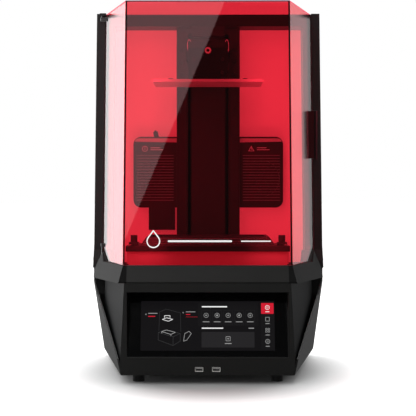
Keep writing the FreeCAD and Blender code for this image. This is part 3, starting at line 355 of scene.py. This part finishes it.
def socket_screw(bm, spot, axis, radius, height):
    """A socket-head cap screw: a chamfered head with a hexagon pocket."""
    axis = Vector(axis).normalized()
    helper = Vector((0, 0, 1)) if abs(axis.z) < 0.9 else Vector((1, 0, 0))
    across = axis.cross(helper).normalized()
    up = axis.cross(across).normalized()
    steps = 24
    levels = ((radius, 0), (radius, height * 0.85), (radius * 0.88, height), (radius * 0.5, height),
              (radius * 0.5, height * 0.35))
    rings = []
    for size, rise in levels:
        ring = []
        for i in range(steps):
            turn = 2 * math.pi * i / steps
            reach = size
            if size == radius * 0.5:
                reach = size / math.cos((turn % (math.pi / 3)) - math.pi / 6) * 0.95
            round_axis = across * reach * math.cos(turn) + up * reach * math.sin(turn)
            ring.append(bm.verts.new(Vector(spot) + round_axis + axis * rise))
        rings.append(ring)
    for low, high in zip(rings, rings[1:]):
        for i in range(steps):
            j = (i + 1) % steps
            bm.faces.new((low[i], low[j], high[j], high[i]))
    bm.faces.new(list(reversed(rings[0])))
    bm.faces.new(rings[-1])


X, Y, Z = Vector((1, 0, 0)), Vector((0, 1, 0)), Vector((0, 0, 1))
TOWARDS = -Y

# ---------------------------------------------------------------- door trim

foot_black = grained("foot_black", (0.02, 0.02, 0.021), 0.5, 2200, 0.03, shine=0.4)
seam_black = grained("seam_black", (0.003, 0.003, 0.003), 0.5, 1800, 0.02, shine=0.1)
door_low, door_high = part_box("door_front")
HALF_LOW = door_high[0]
roof_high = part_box("door_roof")[1]
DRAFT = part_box("right_facet")[1][0] - roof_high[0]
HALF_HIGH = HALF_LOW - DRAFT


def door_edges(bm):
    """Thin black lines where the front pane meets the facets and the roof."""
    lift = -0.3 * MM
    for side in (-1, 1):
        low = Vector((side * (HALF_LOW - 1.5 * MM), FRONT + lift, door_low[2]))
        high = Vector((side * (HALF_HIGH - 1.5 * MM), FRONT + lift, ROOF - 0.3 * MM))
        bar(bm, low, high, 3 * MM, 0.8 * MM, TOWARDS)
    bar(bm, Vector((-HALF_HIGH, FRONT + lift, ROOF - 1.2 * MM)),
        Vector((HALF_HIGH, FRONT + lift, ROOF - 1.2 * MM)),
        2.2 * MM, 0.8 * MM, TOWARDS)


piece("door_edge_lines", door_edges, seam_black, "door")


def facet_seals(bm):
    """Rubber strips down the facets' rear edges."""
    for side in (-1, 1):
        top = Vector((side * (roof_high[0] - 1.2 * MM), roof_high[1] + 0.1 * MM, ROOF - 4 * MM))
        foot = Vector((side * (roof_high[0] + DRAFT - 1.6 * MM), roof_high[1] + 0.1 * MM,
                       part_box("collar_front")[1][2] + 0.03))
        bar(bm, foot, top, 3.4 * MM, 1.2 * MM, Y)


piece("door_seals", facet_seals, rubber, "door")


def rising_seals(bm):
    """Black rubber along the collar arms' rising tops, under the door's edge."""
    for side in (-1, 1):
        start = Vector((side * (HALF_LOW + 0.0385), FRONT + 0.125, door_low[2] - 0.9 * MM))
        end = Vector((side * (HALF_LOW + 0.0485), FRONT + 0.159, door_low[2] + 19.6 * MM))
        along = (end - start).normalized()
        bar(bm, start, end, 5 * MM, 0.6 * MM, X.cross(along))


piece("rising_seals", rising_seals, seam_black).visible_glossy = False


def foot_plates(bm):
    """Cover plates at the feet of the uprights, level with the collar."""
    low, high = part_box("right_upright")
    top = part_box("right_collar_arm")[1][2]
    outer = high[0] - 0.0025
    inner = -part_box("hinge_pins")[0][0] - 0.001
    for side in (-1, 1):
        outline = [(side * inner, door_low[2]), (side * (outer + 0.002), door_low[2]),
                   (side * outer, top), (side * inner, top)]
        slab(bm, outline, (0, 0.0014), Vector((0, low[1], 0)), X, Z, TOWARDS)


piece("foot_plates", foot_plates, foot_black).visible_glossy = False


def corner_gaskets(bm):
    """Rubber plates inside the side shells that close the corners behind the cheeks."""
    outline = [(0.14, 0.105), (0.2033, 0.105), (0.2183, 0.171), (0.2186, 0.1995), (0.14, 0.1995)]
    for side in (-1, 1):
        slab(bm, [(side * x, z) for x, z in outline], (0, 0.001), Vector((0, -0.0183, 0)), X, Z, TOWARDS)


piece("corner_gaskets", corner_gaskets, rubber)

# ---------------------------------------------------------------- touch screen

glass_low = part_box("touch_glass")[0]
TILT = math.radians(17)
screen_up = Vector((0, math.sin(TILT), math.cos(TILT)))
screen_out = Vector((0, -math.cos(TILT), math.sin(TILT)))
screen_foot = Vector((0, glass_low[1], glass_low[2] + 2 * MM * math.sin(TILT)))
SCREEN_W, SCREEN_H = 243.6, 91.4
screen_corner = screen_foot + screen_up * 0.0112 - X * SCREEN_W / 2 * MM


class Screen:
    """Flat shapes on the display, in millimetres from its top left corner."""

    def __init__(self):
        self.layers = {}

    def add(self, layer, outline, inner=None):
        self.layers.setdefault(layer, []).append((outline, inner))

    def area(self, layer, left, right, top, bottom, radius=0.0):
        if radius:
            self.add(layer, rounded(left, right, -bottom, -top, radius))
        else:
            self.add(layer, rectangle(left, right, -bottom, -top))

    def frame(self, layer, left, right, top, bottom, line, radius=1.0):
        outer = rounded(left, right, -bottom, -top, radius)
        inner = rounded(left + line, right - line, -bottom + line, -top - line, max(radius - line, 0.05))
        self.add(layer, outer, inner)

    def circle(self, layer, x, y, radius, line=0.0):
        if line:
            self.add(layer, round_shape(x, -y, radius), round_shape(x, -y, radius - line))
        else:
            self.add(layer, round_shape(x, -y, radius))

    def line(self, layer, x0, y0, x1, y1, width):
        way = Vector((x1 - x0, y0 - y1)).normalized()
        side = Vector((-way.y, way.x)) * width / 2
        a, b = Vector((x0, -y0)), Vector((x1, -y1))
        self.add(layer, [tuple(a - side), tuple(b - side), tuple(b + side), tuple(a + side)])

    def make(self, finishes):
        top_left = screen_corner + screen_up * SCREEN_H * MM
        for layer, (material, low, high) in finishes.items():
            shapes = self.layers[layer]

            def build(bm, shapes=shapes, low=low, high=high):
                for outline, inner in shapes:
                    scaled = [(a * MM, b * MM) for a, b in outline]
                    if inner:
                        hollow = [(a * MM, b * MM) for a, b in inner]
                        ring_shape(bm, scaled, hollow, (low * MM, high * MM), top_left, X, screen_up,
                                   screen_out)
                    else:
                        slab(bm, scaled, (low * MM, high * MM), top_left, X, screen_up, screen_out)

            piece("screen_" + layer, build, material)


ui = Screen()
ui.area("back", 0, SCREEN_W, 0, SCREEN_H, 1.2)
ui.area("panel", 104, 214, 2.5, 46, 1.5)
ui.area("panel", 218.5, 242.6, 2.5, 88.9, 1.5)
ui.area("card", 110.6, 206.7, 57, 85.5, 1.5)
ui.area("red", 219.2, 242, 3.6, 23.6, 1.0)
ui.area("white", 111, 157, 9.4, 11.6)
ui.area("white", 111, 150, 49.2, 51.2)
ui.area("grey", 196, 206, 49.4, 51)
for i in range(5):
    x = 118.8 + 20.1 * i
    ui.frame("card", x - 8.4, x + 8.4, 17, 44, 0.35, 1.2)
    ui.circle("grey", x, 26.5, 4.4, 0.7)
    if i % 2:
        ui.circle("grey", x, 26.5, 1.7)
    else:
        ui.line("grey", x - 2, 26.5, x + 2, 26.5, 0.8)
        ui.line("grey", x, 24.5, x, 28.5, 0.8)
    ui.area("grey", x - 6, x + 6, 37.8, 39)
ui.frame("grey", 154.6, 163, 65.2, 73.8, 0.8, 1.0)
ui.line("grey", 157, 69.5, 160.6, 69.5, 0.8)
ui.line("grey", 158.8, 67.7, 158.8, 71.3, 0.8)
ui.area("grey", 153, 165, 77.6, 79)
ui.circle("white", 230.6, 11.8, 4.2, 0.8)
ui.circle("white", 230.6, 11.8, 1.8, 0.5)
ui.area("white", 227, 234.2, 19.2, 20.4)
ui.frame("grey", 226.8, 234.4, 29.6, 37.4, 0.8, 0.8)
ui.area("grey", 227, 234.2, 41, 42.2)
for x in (226.8, 231.2):
    for y in (50, 54.4):
        ui.frame("grey", x, x + 3.4, y, y + 3.4, 0.6, 0.5)
ui.area("grey", 227, 234.2, 62, 63.2)
ui.circle("grey", 230.6, 74.4, 4.2, 0.8)
ui.circle("grey", 230.6, 74.4, 1.5, 0.5)
ui.area("grey", 227, 234.2, 82.6, 83.8)
ui.area("grey", 13, 30, 22.2, 23.4)
ui.area("red", 13, 26, 27.6, 29.2)
ui.circle("grey", 9, 24.6, 1.2, 0.5)
ui.area("grey", 82, 99, 19.4, 20.6)
ui.area("red", 82, 103, 29.2, 29.6)
ui.area("red", 82, 90, 24.2, 25.6)
ui.circle("grey", 77, 21.4, 1.2, 0.5)
# A plain line drawing of the machine: a base, a tank, a plate above it and a resin bottle.
base_lines = ((32, 58, 45, 53), (45, 53, 72, 60), (72, 60, 59, 66), (59, 66, 32, 58), (32, 58, 32, 72),
              (59, 66, 59, 82), (72, 60, 72, 74), (32, 72, 59, 82), (59, 82, 72, 74))
tank_lines = ((38, 56.5, 47, 53.5), (47, 53.5, 63, 57.8), (63, 57.8, 55, 61.6), (55, 61.6, 38, 56.5),
              (38, 56.5, 38.4, 59.5), (55, 61.6, 55, 64.4))
plate_lines = ((39, 34, 47, 31), (47, 31, 58, 34), (58, 34, 50, 37.4), (50, 37.4, 39, 34), (43, 31, 43, 27),
               (53, 31, 53, 27), (43, 27, 53, 27))
hood_lines = ((34, 20, 46, 15), (46, 15, 72, 22), (34, 20, 33, 55), (72, 22, 73, 57))
bottle_lines = ((80, 60, 88, 56), (88, 56, 92, 60), (92, 60, 84, 72), (84, 72, 78, 74), (78, 74, 80, 60))
DRAWING = ((base_lines, "faint", 0.5), (hood_lines, "faint", 0.4), (tank_lines, "grey", 0.9),
           (plate_lines, "white", 0.9), (bottle_lines, "grey", 0.8))
for lines, layer, width in DRAWING:
    for x0, y0, x1, y1 in lines:
        ui.line(layer, x0, y0, x1, y1, width)
ui.make({
    "back": (glowing("screen_back", (0.55, 0.5, 0.58), 0.01), -0.1, 0.05),
    "panel": (glowing("screen_panel", (0.6, 0.56, 0.62), 0.012), 0.05, 0.09),
    "card": (glowing("screen_card", (0.6, 0.57, 0.62), 0.03), 0.09, 0.13),
    "faint": (glowing("screen_faint", (0.6, 0.6, 0.62), 0.09), 0.13, 0.17),
    "grey": (glowing("screen_grey", (0.8, 0.8, 0.8), 0.42), 0.13, 0.18),
    "white": (glowing("screen_white", (1, 1, 1), 0.9), 0.14, 0.19),
    "red": (glowing("screen_red", (1.0, 0.02, 0.05), 0.62), 0.13, 0.17),
})

# ---------------------------------------------------------------- ports

port_black = grained("port_black", (0.006, 0.006, 0.006), 0.6, 1500, 0.01)
port_low, port_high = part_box("usb_ports")
PORT_MIDDLE = (port_low[2] + port_high[2]) / 2


def port_lining(bm):
    """Dark insides behind each port's flared rim, with a black tongue."""
    for side in (-1, 1):
        x = side * 0.0155
        origin = Vector((0, port_low[1] + 0.0012, PORT_MIDDLE))
        ring_shape(bm, rounded(x - 0.0062, x + 0.0062, -0.0027, 0.0027, 0.0004, 2),
                   rounded(x - 0.0056, x + 0.0056, -0.0022, 0.0022, 0.0004, 2), (-0.011, 0), origin, X, Z,
                   TOWARDS)
        slab(bm, rectangle(x - 0.0057, x + 0.0057, -0.0023, 0.0023), (-0.0125, -0.0105), origin, X, Z,
             TOWARDS)
        slab(bm, rectangle(x - 0.0052, x + 0.0052, 0.0, 0.0017), (-0.011, -0.0015), origin, X, Z, TOWARDS)


def port_rims(bm):
    """Each port's rim flares outwards like a folded steel mouth."""
    for side in (-1, 1):
        x = side * 0.0155
        outer = rounded(x - 0.0076, x + 0.0076, -0.0042, 0.0042, 0.0012, 3)
        inner = rounded(x - 0.006, x + 0.006, -0.0025, 0.0025, 0.0007, 3)
        origin = Vector((0, port_low[1] - 0.0002, PORT_MIDDLE))
        front = [bm.verts.new(origin + X * a + Z * b + TOWARDS * 0.0006) for a, b in outer]
        back = [bm.verts.new(origin + X * a + Z * b - TOWARDS * 0.0016) for a, b in inner]
        rim = [bm.verts.new(origin + X * a + Z * b) for a, b in outer]
        count = len(outer)
        for i in range(count):
            j = (i + 1) % count
            bm.faces.new((front[i], front[j], back[j], back[i]))
            bm.faces.new((rim[i], front[i], front[j], rim[j]))
            bm.faces.new((rim[i], rim[j], back[j], back[i]))


piece("usb_lining", port_lining, port_black)
piece("usb_rims", port_rims, chromed)

# ---------------------------------------------------------------- front marking

mark_white_and_painted_glow = grained("mark_white_and_painted_glow", (0.85, 0.85, 0.85), 0.4, 1200, 0.005, vary=0.02)
# The print is white; its glow is painted light that makes it look brightly lit.
mark_shader = mark_white_and_painted_glow.node_tree.nodes["Principled BSDF"]
mark_shader.inputs["Emission Color"].default_value = (1, 1, 1, 1)
mark_shader.inputs["Emission Strength"].default_value = MARK_PAINTED_GLOW


def droplet(x, z, radius, steps=28):
    """A plain drop of liquid."""
    made = []
    for i in range(steps):
        turn = 2 * math.pi * i / steps
        point = max(0.0, math.cos(turn)) ** 5
        made.append((x + radius * math.sin(turn) * (1 - 0.55 * point),
                     z + radius * (math.cos(turn) + 0.62 * point)))
    return made


def front_mark(bm):
    """A generic drop and two plain bars printed on the front pane."""
    origin = Vector((0, FRONT, 0))
    lift = (0, 0.12 * MM)
    ring_shape(bm, droplet(-0.098, 0.2585, 0.0125), droplet(-0.098, 0.2585, 0.0103), lift, origin, X, Z,
               TOWARDS)
    slab(bm, rounded(-0.072, 0.044, 0.2568, 0.2602, 0.0016), lift, origin, X, Z, TOWARDS)
    slab(bm, rounded(0.06, 0.114, 0.2574, 0.2596, 0.001), lift, origin, X, Z, TOWARDS)


piece("front_mark", front_mark, mark_white_and_painted_glow, "door")

# ---------------------------------------------------------------- inside the chamber

heater_low, heater_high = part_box("right_heater")
HEATER_IN, HEATER_OUT, HEATER_TOP = heater_low[0], heater_high[0], heater_high[2]
# The pale strip's outline on the right heater, round at its outer top corner.
STRIP = [(HEATER_IN + 0.002, HEATER_TOP - 0.011)]
for step in range(5):
    turn = math.radians(-30 + 30 * step)
    STRIP.append((HEATER_OUT - 0.0085 + 0.0075 * max(0, math.cos(turn)),
                  HEATER_TOP - 0.0095 + 0.0065 * max(0, math.sin(turn))))
STRIP.append((HEATER_IN + 0.002, HEATER_TOP - 0.003))

label_pale = grained("label_pale", (0.5, 0.5, 0.5), 0.5, 900, 0.01, vary=0.05)
for word, side in (("left", -1), ("right", 1)):
    low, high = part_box(word + "_heater")
    middle = (low[0] + high[0]) / 2
    top = high[2]

    def caution(bm, middle=middle, top=top, side=side):
        """A pale strip along the top, and a plain symbol with two bars under it."""
        origin = Vector((0, low[1], 0))
        lift = (-0.2 * MM, 0.3 * MM)
        strip = [(side * (reach - 0.002), z) for reach, z in STRIP]
        slab(bm, strip, lift, origin, X, Z, TOWARDS)
        cx, cz = middle - 0.02, top - 0.0235
        outer = [(cx - 0.0062, cz - 0.0048), (cx + 0.0062, cz - 0.0048), (cx, cz + 0.0062)]
        inner = [(cx - 0.004, cz - 0.0036), (cx + 0.004, cz - 0.0036), (cx, cz + 0.0036)]
        if side < 0:
            outer = round_shape(cx, cz, 0.0056)
            inner = round_shape(cx, cz, 0.0044)
        ring_shape(bm, outer, inner, lift, origin, X, Z, TOWARDS)
        slab(bm, rectangle(cx - 0.0006, cx + 0.0006, cz - 0.002, cz + 0.0026), lift, origin, X, Z, TOWARDS)
        slab(bm, rectangle(cx + 0.011, cx + 0.03, cz + 0.0012, cz + 0.0026), lift, origin, X, Z, TOWARDS)
        slab(bm, rectangle(cx + 0.011, cx + 0.036, cz - 0.0026, cz - 0.0012), lift, origin, X, Z, TOWARDS)

    piece(word + "_heater_label", caution, label_pale)


rib_black = grained("rib_black", (0.14, 0.13, 0.13), 0.4, 1600, 0.01)
for word in ("left", "right"):
    low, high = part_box(word + "_heater")

    def louvres(bm, low=low, high=high):
        """A slanted blade over each slot."""
        for i in range(17):
            height = low[2] + 0.011 + 0.0055 * i + 0.0026
            run = rounded(low[0] + 0.006, high[0] - 0.006, height - 0.0002, height + 0.0016, 0.0006, 2)
            slab(bm, run, (-0.0015, 0.0004), Vector((0, low[1], 0)), X, Z, TOWARDS)

    piece(word + "_heater_louvres", louvres, rib_black)


def heater_clip(bm):
    """A small tilted clip standing on the left heater."""
    low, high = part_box("left_heater")
    lean = Matrix.Rotation(math.radians(-12), 3, "Y")
    origin = Vector((low[0] + 0.045, low[1] + 0.01, high[2] - 0.0005))
    slab(bm, rectangle(-0.0045, 0.0045, 0, 0.011), (-0.004, 0.004), origin, lean @ X, lean @ Z, TOWARDS)
    slab(bm, rectangle(-0.0022, 0.0022, 0.0095, 0.0135), (-0.0025, 0.0025), origin, lean @ X, lean @ Z,
         TOWARDS)


piece("heater_clip", heater_clip, heater_black)


def tower_details(bm):
    """Thin ridges down the tower's flanges, beside the slots."""
    low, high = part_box("z_tower")
    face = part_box("tower_cover")[0][1]
    for side in (-1, 1):
        for reach, width in ((0.0425, 0.0016), (0.0585, 0.0012)):
            slab(bm, rectangle(side * reach - width / 2, side * reach + width / 2, low[2] + 0.045,
                               high[2] - 0.02),
                 (-0.0002, 0.0004), Vector((0, face, 0)), X, Z, TOWARDS)


piece("tower_ridges", tower_details, dark_steel)


def tower_screws(bm):
    low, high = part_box("tower_cover")
    for side in (-1, 1):
        for height in (0.27, 0.33, 0.39, 0.45, 0.51):
            socket_screw(bm, (side * 0.0515, low[1] + 0.0001, height), TOWARDS, 0.0022, 0.0004)
    for height in (low[2] + 0.012, high[2] - 0.02):
        for side in (-1, 1):
            socket_screw(bm, (side * 0.026, low[1] - 0.00005, height), TOWARDS, 0.0024, 0.00035)


piece("tower_screws", tower_screws, dark_steel)


def carriage_screws(bm):
    """Cap screws on the carriage plate and the bracket."""
    low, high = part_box("carriage")
    for side in (-1, 1):
        for height in (low[2] + 0.01, (low[2] + high[2]) / 2, high[2] - 0.01):
            socket_screw(bm, (side * 0.0515, low[1], height), TOWARDS, 0.0042, 0.004)
    for side in (-1, 1):
        for height in (0.572, 0.597):
            socket_screw(bm, (side * 0.027, FRONT + 0.094, height), TOWARDS, 0.0035, 0.0025)
    plate_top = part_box("build_plate")[1][2]
    for side in (-1, 1):
        for back in (0.03, 0.082):
            socket_screw(bm, (side * 0.07, FRONT + 0.06 + back, plate_top), Z, 0.0045, 0.004)


piece("carriage_screws", carriage_screws, dark_steel, "platform")


# Light metal for the knob's face and the levers' rims; on the levers it is a painted highlight along their
# edges.
polish_and_painted_highlight = grained("rim_polish_and_painted_highlight", (0.85, 0.85, 0.85), 0.3, 2600, 0.006, metallic=0.3)
for word, side in (("left", -1), ("right", 1)):
    low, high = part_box(word + "_plate_lever")

    def lever_rim(bm, low=low, high=high, side=side):
        """A bright rim round the lever's oval head, and a short edge down its leg: a painted highlight along
        the lever's edges.
        """
        x = (low[0] + high[0]) / 2
        tall = 0.0115 if side < 0 else 0.0135
        middle = high[2] - 0.002 - tall
        origin = Vector((0, low[1], 0))
        outer = [(x + 0.0042 * math.cos(a * math.pi / 16),
                  middle + tall * math.sin(a * math.pi / 16)) for a in range(32)]
        inner = [(x + 0.0028 * math.cos(a * math.pi / 16),
                  middle + (tall - 0.0012) * math.sin(a * math.pi / 16))
                 for a in range(32)]
        ring_shape(bm, outer, inner, (-0.0005, 0.0006), origin, X, Z, TOWARDS)
        slab(bm, rectangle(x - side * 0.003, x - side * 0.0015, low[2] + 0.003, middle - tall + 0.002),
             (-0.0005, 0.0006),
             origin, X, Z, TOWARDS)

    piece(word + "_lever_rim", lever_rim, polish_and_painted_highlight, "lever_" + word)


def knob_ring(bm):
    """The lock knob's bright six-sided face round a dark middle."""
    low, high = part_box("plate_knob")
    x, z = (low[0] + high[0]) / 2, (low[2] + high[2]) / 2
    outer = round_shape(x, z, 0.0062, 12)
    inner = round_shape(x, z, 0.003, 12)
    ring_shape(bm, outer, inner, (-0.0006, 0.0002), Vector((0, low[1], 0)), X, Z, TOWARDS)


piece("knob_ring", knob_ring, polish_and_painted_highlight, "lock_knob")


def bracket_edge(bm):
    """A fine edge along the top of the bracket's front, between the levers."""
    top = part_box("plate_bracket")[1][2]
    lever_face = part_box("right_plate_lever")[0][1]
    origin = Vector((0, lever_face + 0.004, 0))
    slab(bm, rectangle(-0.031, 0.031, top - 0.0012, top - 0.0006), (0, 0.0004), origin, X, Z, TOWARDS)


piece("bracket_edge", bracket_edge, dark_steel, "platform")


def skirts(bm):
    """Returns in the plinth's paint and painted red glow that close the space between the plinth and the
    door.
    """
    low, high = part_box("plinth")
    for side in (-1, 1):
        inner, outer = side * (high[0] - 0.001), side * (high[0] + 0.011)
        slab(bm, rectangle(min(inner, outer), max(inner, outer), low[2] + 0.004, high[2]), (-0.003, 0),
             Vector((0, low[1], 0)), X, Z, TOWARDS)


piece("plinth_skirts", skirts, plinth_paint_and_painted_glow)


def platform_screws(bm):
    low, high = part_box("tank_platform")
    for side in (-1, 1):
        for back in (0.008, 0.128):
            socket_screw(bm, (side * 0.143, low[1] + back, high[2]), Z, 0.0034, 0.003)


piece("platform_screws", platform_screws, steel)


def tank_ribs(bm):
    """Ribs along the tank's sloping front wall."""
    low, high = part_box("resin_tank")
    for rise in (0.0035, 0.008, 0.0125):
        share = rise / (high[2] - low[2])
        half = high[0] - 0.0115 * share - 0.004
        back = low[1] + 0.007 * share
        slab(bm, rectangle(-half, half, low[2] + rise, low[2] + rise + 0.0011), (-0.0005, 0.0006),
             Vector((0, back, 0)), X, Z, TOWARDS)


piece("tank_ribs", tank_ribs, steel)

# ---------------------------------------------------------------- back

def rear_screws(bm):
    """Low screw heads round the rear panels. The cover narrows going up, so its side rows lean."""
    half, back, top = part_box("rear_cover")[1]
    radius, rise = 0.0034, 0.0003
    seat = back - 0.0003
    for side in (-1, 1):
        for i in range(5):
            height = 0.225 + i * 0.11
            reach = half - 0.014 - 0.0135 * (height - 0.25)
            socket_screw(bm, (side * reach, seat, height), Y, radius, rise)
        for height in (0.04, 0.11, 0.18):
            socket_screw(bm, (side * 0.206, seat, height), Y, radius, rise)
    for x in (-0.12, -0.04, 0.04, 0.12):
        socket_screw(bm, (x, seat, top - 0.012), Y, radius, rise)


piece("rear_screws", rear_screws, steel)

# ---------------------------------------------------------------- stage

# The floor glows with painted white light that fades in round the object, in an oval, so its own shading
# turns to plain white further out; only camera rays see the glow.
FADE = (0.2, 0.5)
OVAL = (1.35, 0.9, 1)
floor_material, floor_tree, floor_shader, _ = fresh("floor_white")
floor_shader.inputs["Base Color"].default_value = (0.6, 0.6, 0.6, 1)
floor_shader.inputs["Roughness"].default_value = 0.9
floor_shader.inputs["Specular IOR Level"].default_value = 0.1
spot = floor_tree.nodes.new("ShaderNodeTexCoord")
reach = floor_tree.nodes.new("ShaderNodeVectorMath")
reach.operation = "LENGTH"
fade = floor_tree.nodes.new("ShaderNodeMapRange")
fade.interpolation_type = "SMOOTHSTEP"
fade.inputs["From Min"].default_value, fade.inputs["From Max"].default_value = FADE
fade.inputs["To Max"].default_value = 1.0
seen_only = floor_tree.nodes.new("ShaderNodeLightPath")
painted_floor_glow = floor_tree.nodes.new("ShaderNodeMath")
painted_floor_glow.operation = "MULTIPLY"
stretch = floor_tree.nodes.new("ShaderNodeMapping")
stretch.inputs["Scale"].default_value = OVAL
floor_tree.links.new(spot.outputs["Object"], stretch.inputs["Vector"])
floor_tree.links.new(stretch.outputs["Vector"], reach.inputs[0])
floor_tree.links.new(reach.outputs["Value"], fade.inputs["Value"])
floor_tree.links.new(fade.outputs["Result"], painted_floor_glow.inputs[0])
floor_tree.links.new(seen_only.outputs["Is Camera Ray"], painted_floor_glow.inputs[1])
floor_shader.inputs["Emission Color"].default_value = (1, 1, 1, 1)
floor_tree.links.new(painted_floor_glow.outputs[0], floor_shader.inputs["Emission Strength"])


def floor_plane(bm):
    bm.faces.new([bm.verts.new(corner) for corner in ((-30, -3, 0), (30, -3, 0), (30, 40, 0),
                                                      (-30, 40, 0))])


floor = piece("floor", floor_plane, floor_material, "stage")
floor.visible_glossy = False


def card(name, corners, radiance):
    """A plain light card that the camera doesn't see."""
    made, tree, shader, output = fresh(name)
    tree.nodes.remove(shader)
    glow = tree.nodes.new("ShaderNodeEmission")
    glow.inputs["Strength"].default_value = radiance
    tree.links.new(glow.outputs[0], output.inputs["Surface"])

    def build(bm):
        bm.faces.new([bm.verts.new(corner) for corner in corners])

    board = piece(name, build, made, "stage")
    board.visible_camera = False
    board.visible_shadow = False
    return board


card("card_front", [(-2.6, -3.19, 0.1), (-0.395, -3.19, 0.1), (0.087, -3.19, 1.25), (-2.6, -3.19, 1.25)],
     1.4)
card("card_left", [(-2.9, 0.9, 0.02), (-0.75, 2.0, 0.02), (-0.75, 2.0, 2.6), (-2.9, 0.9, 2.6)], 3.7)
card("card_right", [(0.75, 2.0, 0.02), (2.9, 0.9, 0.02), (2.9, 0.9, 2.6), (0.75, 2.0, 2.6)], 1.15)


def lamp(name, spot, aim, size, energy, glossy=True, colour=(1, 1, 1)):
    """A soft lamp that the camera doesn't see."""
    data = bpy.data.lights.new(name, "AREA")
    data.shape = "RECTANGLE"
    data.size, data.size_y = size
    data.energy = energy
    data.color = colour
    made = bpy.data.objects.new(name, data)
    made.location = spot
    made.rotation_euler = (Vector(aim) - Vector(spot)).to_track_quat("-Z", "Y").to_euler()
    made.visible_camera = False
    made.visible_glossy = glossy
    scene.collection.objects.link(made)
    return made


lamp("lamp_top", (0, 0.2, 2.6), (0, 0.1, 0.3), (2.2, 1.6), 52)
lamp("lamp_front", (-0.9, -2.4, 1.9), (0, -0.1, 0.3), (1.0, 1.0), 14)
lamp("lamp_left", (-2.2, -1.2, 1.2), (0, 0, 0.3), (1.2, 1.8), 9, glossy=False)
lamp("lamp_right", (2.4, -1.0, 1.0), (0, 0, 0.3), (1.0, 1.6), 3, glossy=False)
for side in (-1, 1):
    for height, tall, energy in ((0.3, 0.12, 0.17), (0.46, 0.2, 0.09), (0.62, 0.12, 0.13)):
        lamp("lamp_chamber", (side * 0.115, FRONT + 0.02, height), (side * 0.15, 0.037, height),
             (0.07, tall), energy,
             glossy=False, colour=CHAMBER_RED)
# Kept out of reflections, or the facets mirror them as dark blocks.
for name in ("left_upright", "right_upright", "left_collar_arm", "right_collar_arm", "hinge_lugs",
             "hinge_pins"):
    NODES[name].visible_glossy = False

world = bpy.data.worlds.new("studio")
scene.world = world
world.use_nodes = True
wtree = world.node_tree
ground = wtree.nodes["Background"]
ground.inputs["Color"].default_value = (1, 1, 1, 1)
where = wtree.nodes.new("ShaderNodeTexCoord")
split = wtree.nodes.new("ShaderNodeSeparateXYZ")
falloff = wtree.nodes.new("ShaderNodeMapRange")
falloff.inputs["From Min"].default_value = -0.15
falloff.inputs["From Max"].default_value = 0.6
falloff.inputs["To Min"].default_value = 0.05
falloff.inputs["To Max"].default_value = 0.25
wtree.links.new(where.outputs["Generated"], split.inputs[0])
wtree.links.new(split.outputs["Y"], falloff.inputs["Value"])
wtree.links.new(falloff.outputs["Result"], ground.inputs["Strength"])
seen = wtree.nodes.new("ShaderNodeBackground")
seen.inputs["Color"].default_value = (1, 1, 1, 1)
seen.inputs["Strength"].default_value = 1.0
path = wtree.nodes.new("ShaderNodeLightPath")
choose = wtree.nodes.new("ShaderNodeMixShader")
wtree.links.new(path.outputs["Is Camera Ray"], choose.inputs[0])
wtree.links.new(ground.outputs[0], choose.inputs[1])
wtree.links.new(seen.outputs[0], choose.inputs[2])
wtree.links.new(choose.outputs[0], wtree.nodes["World Output"].inputs["Surface"])
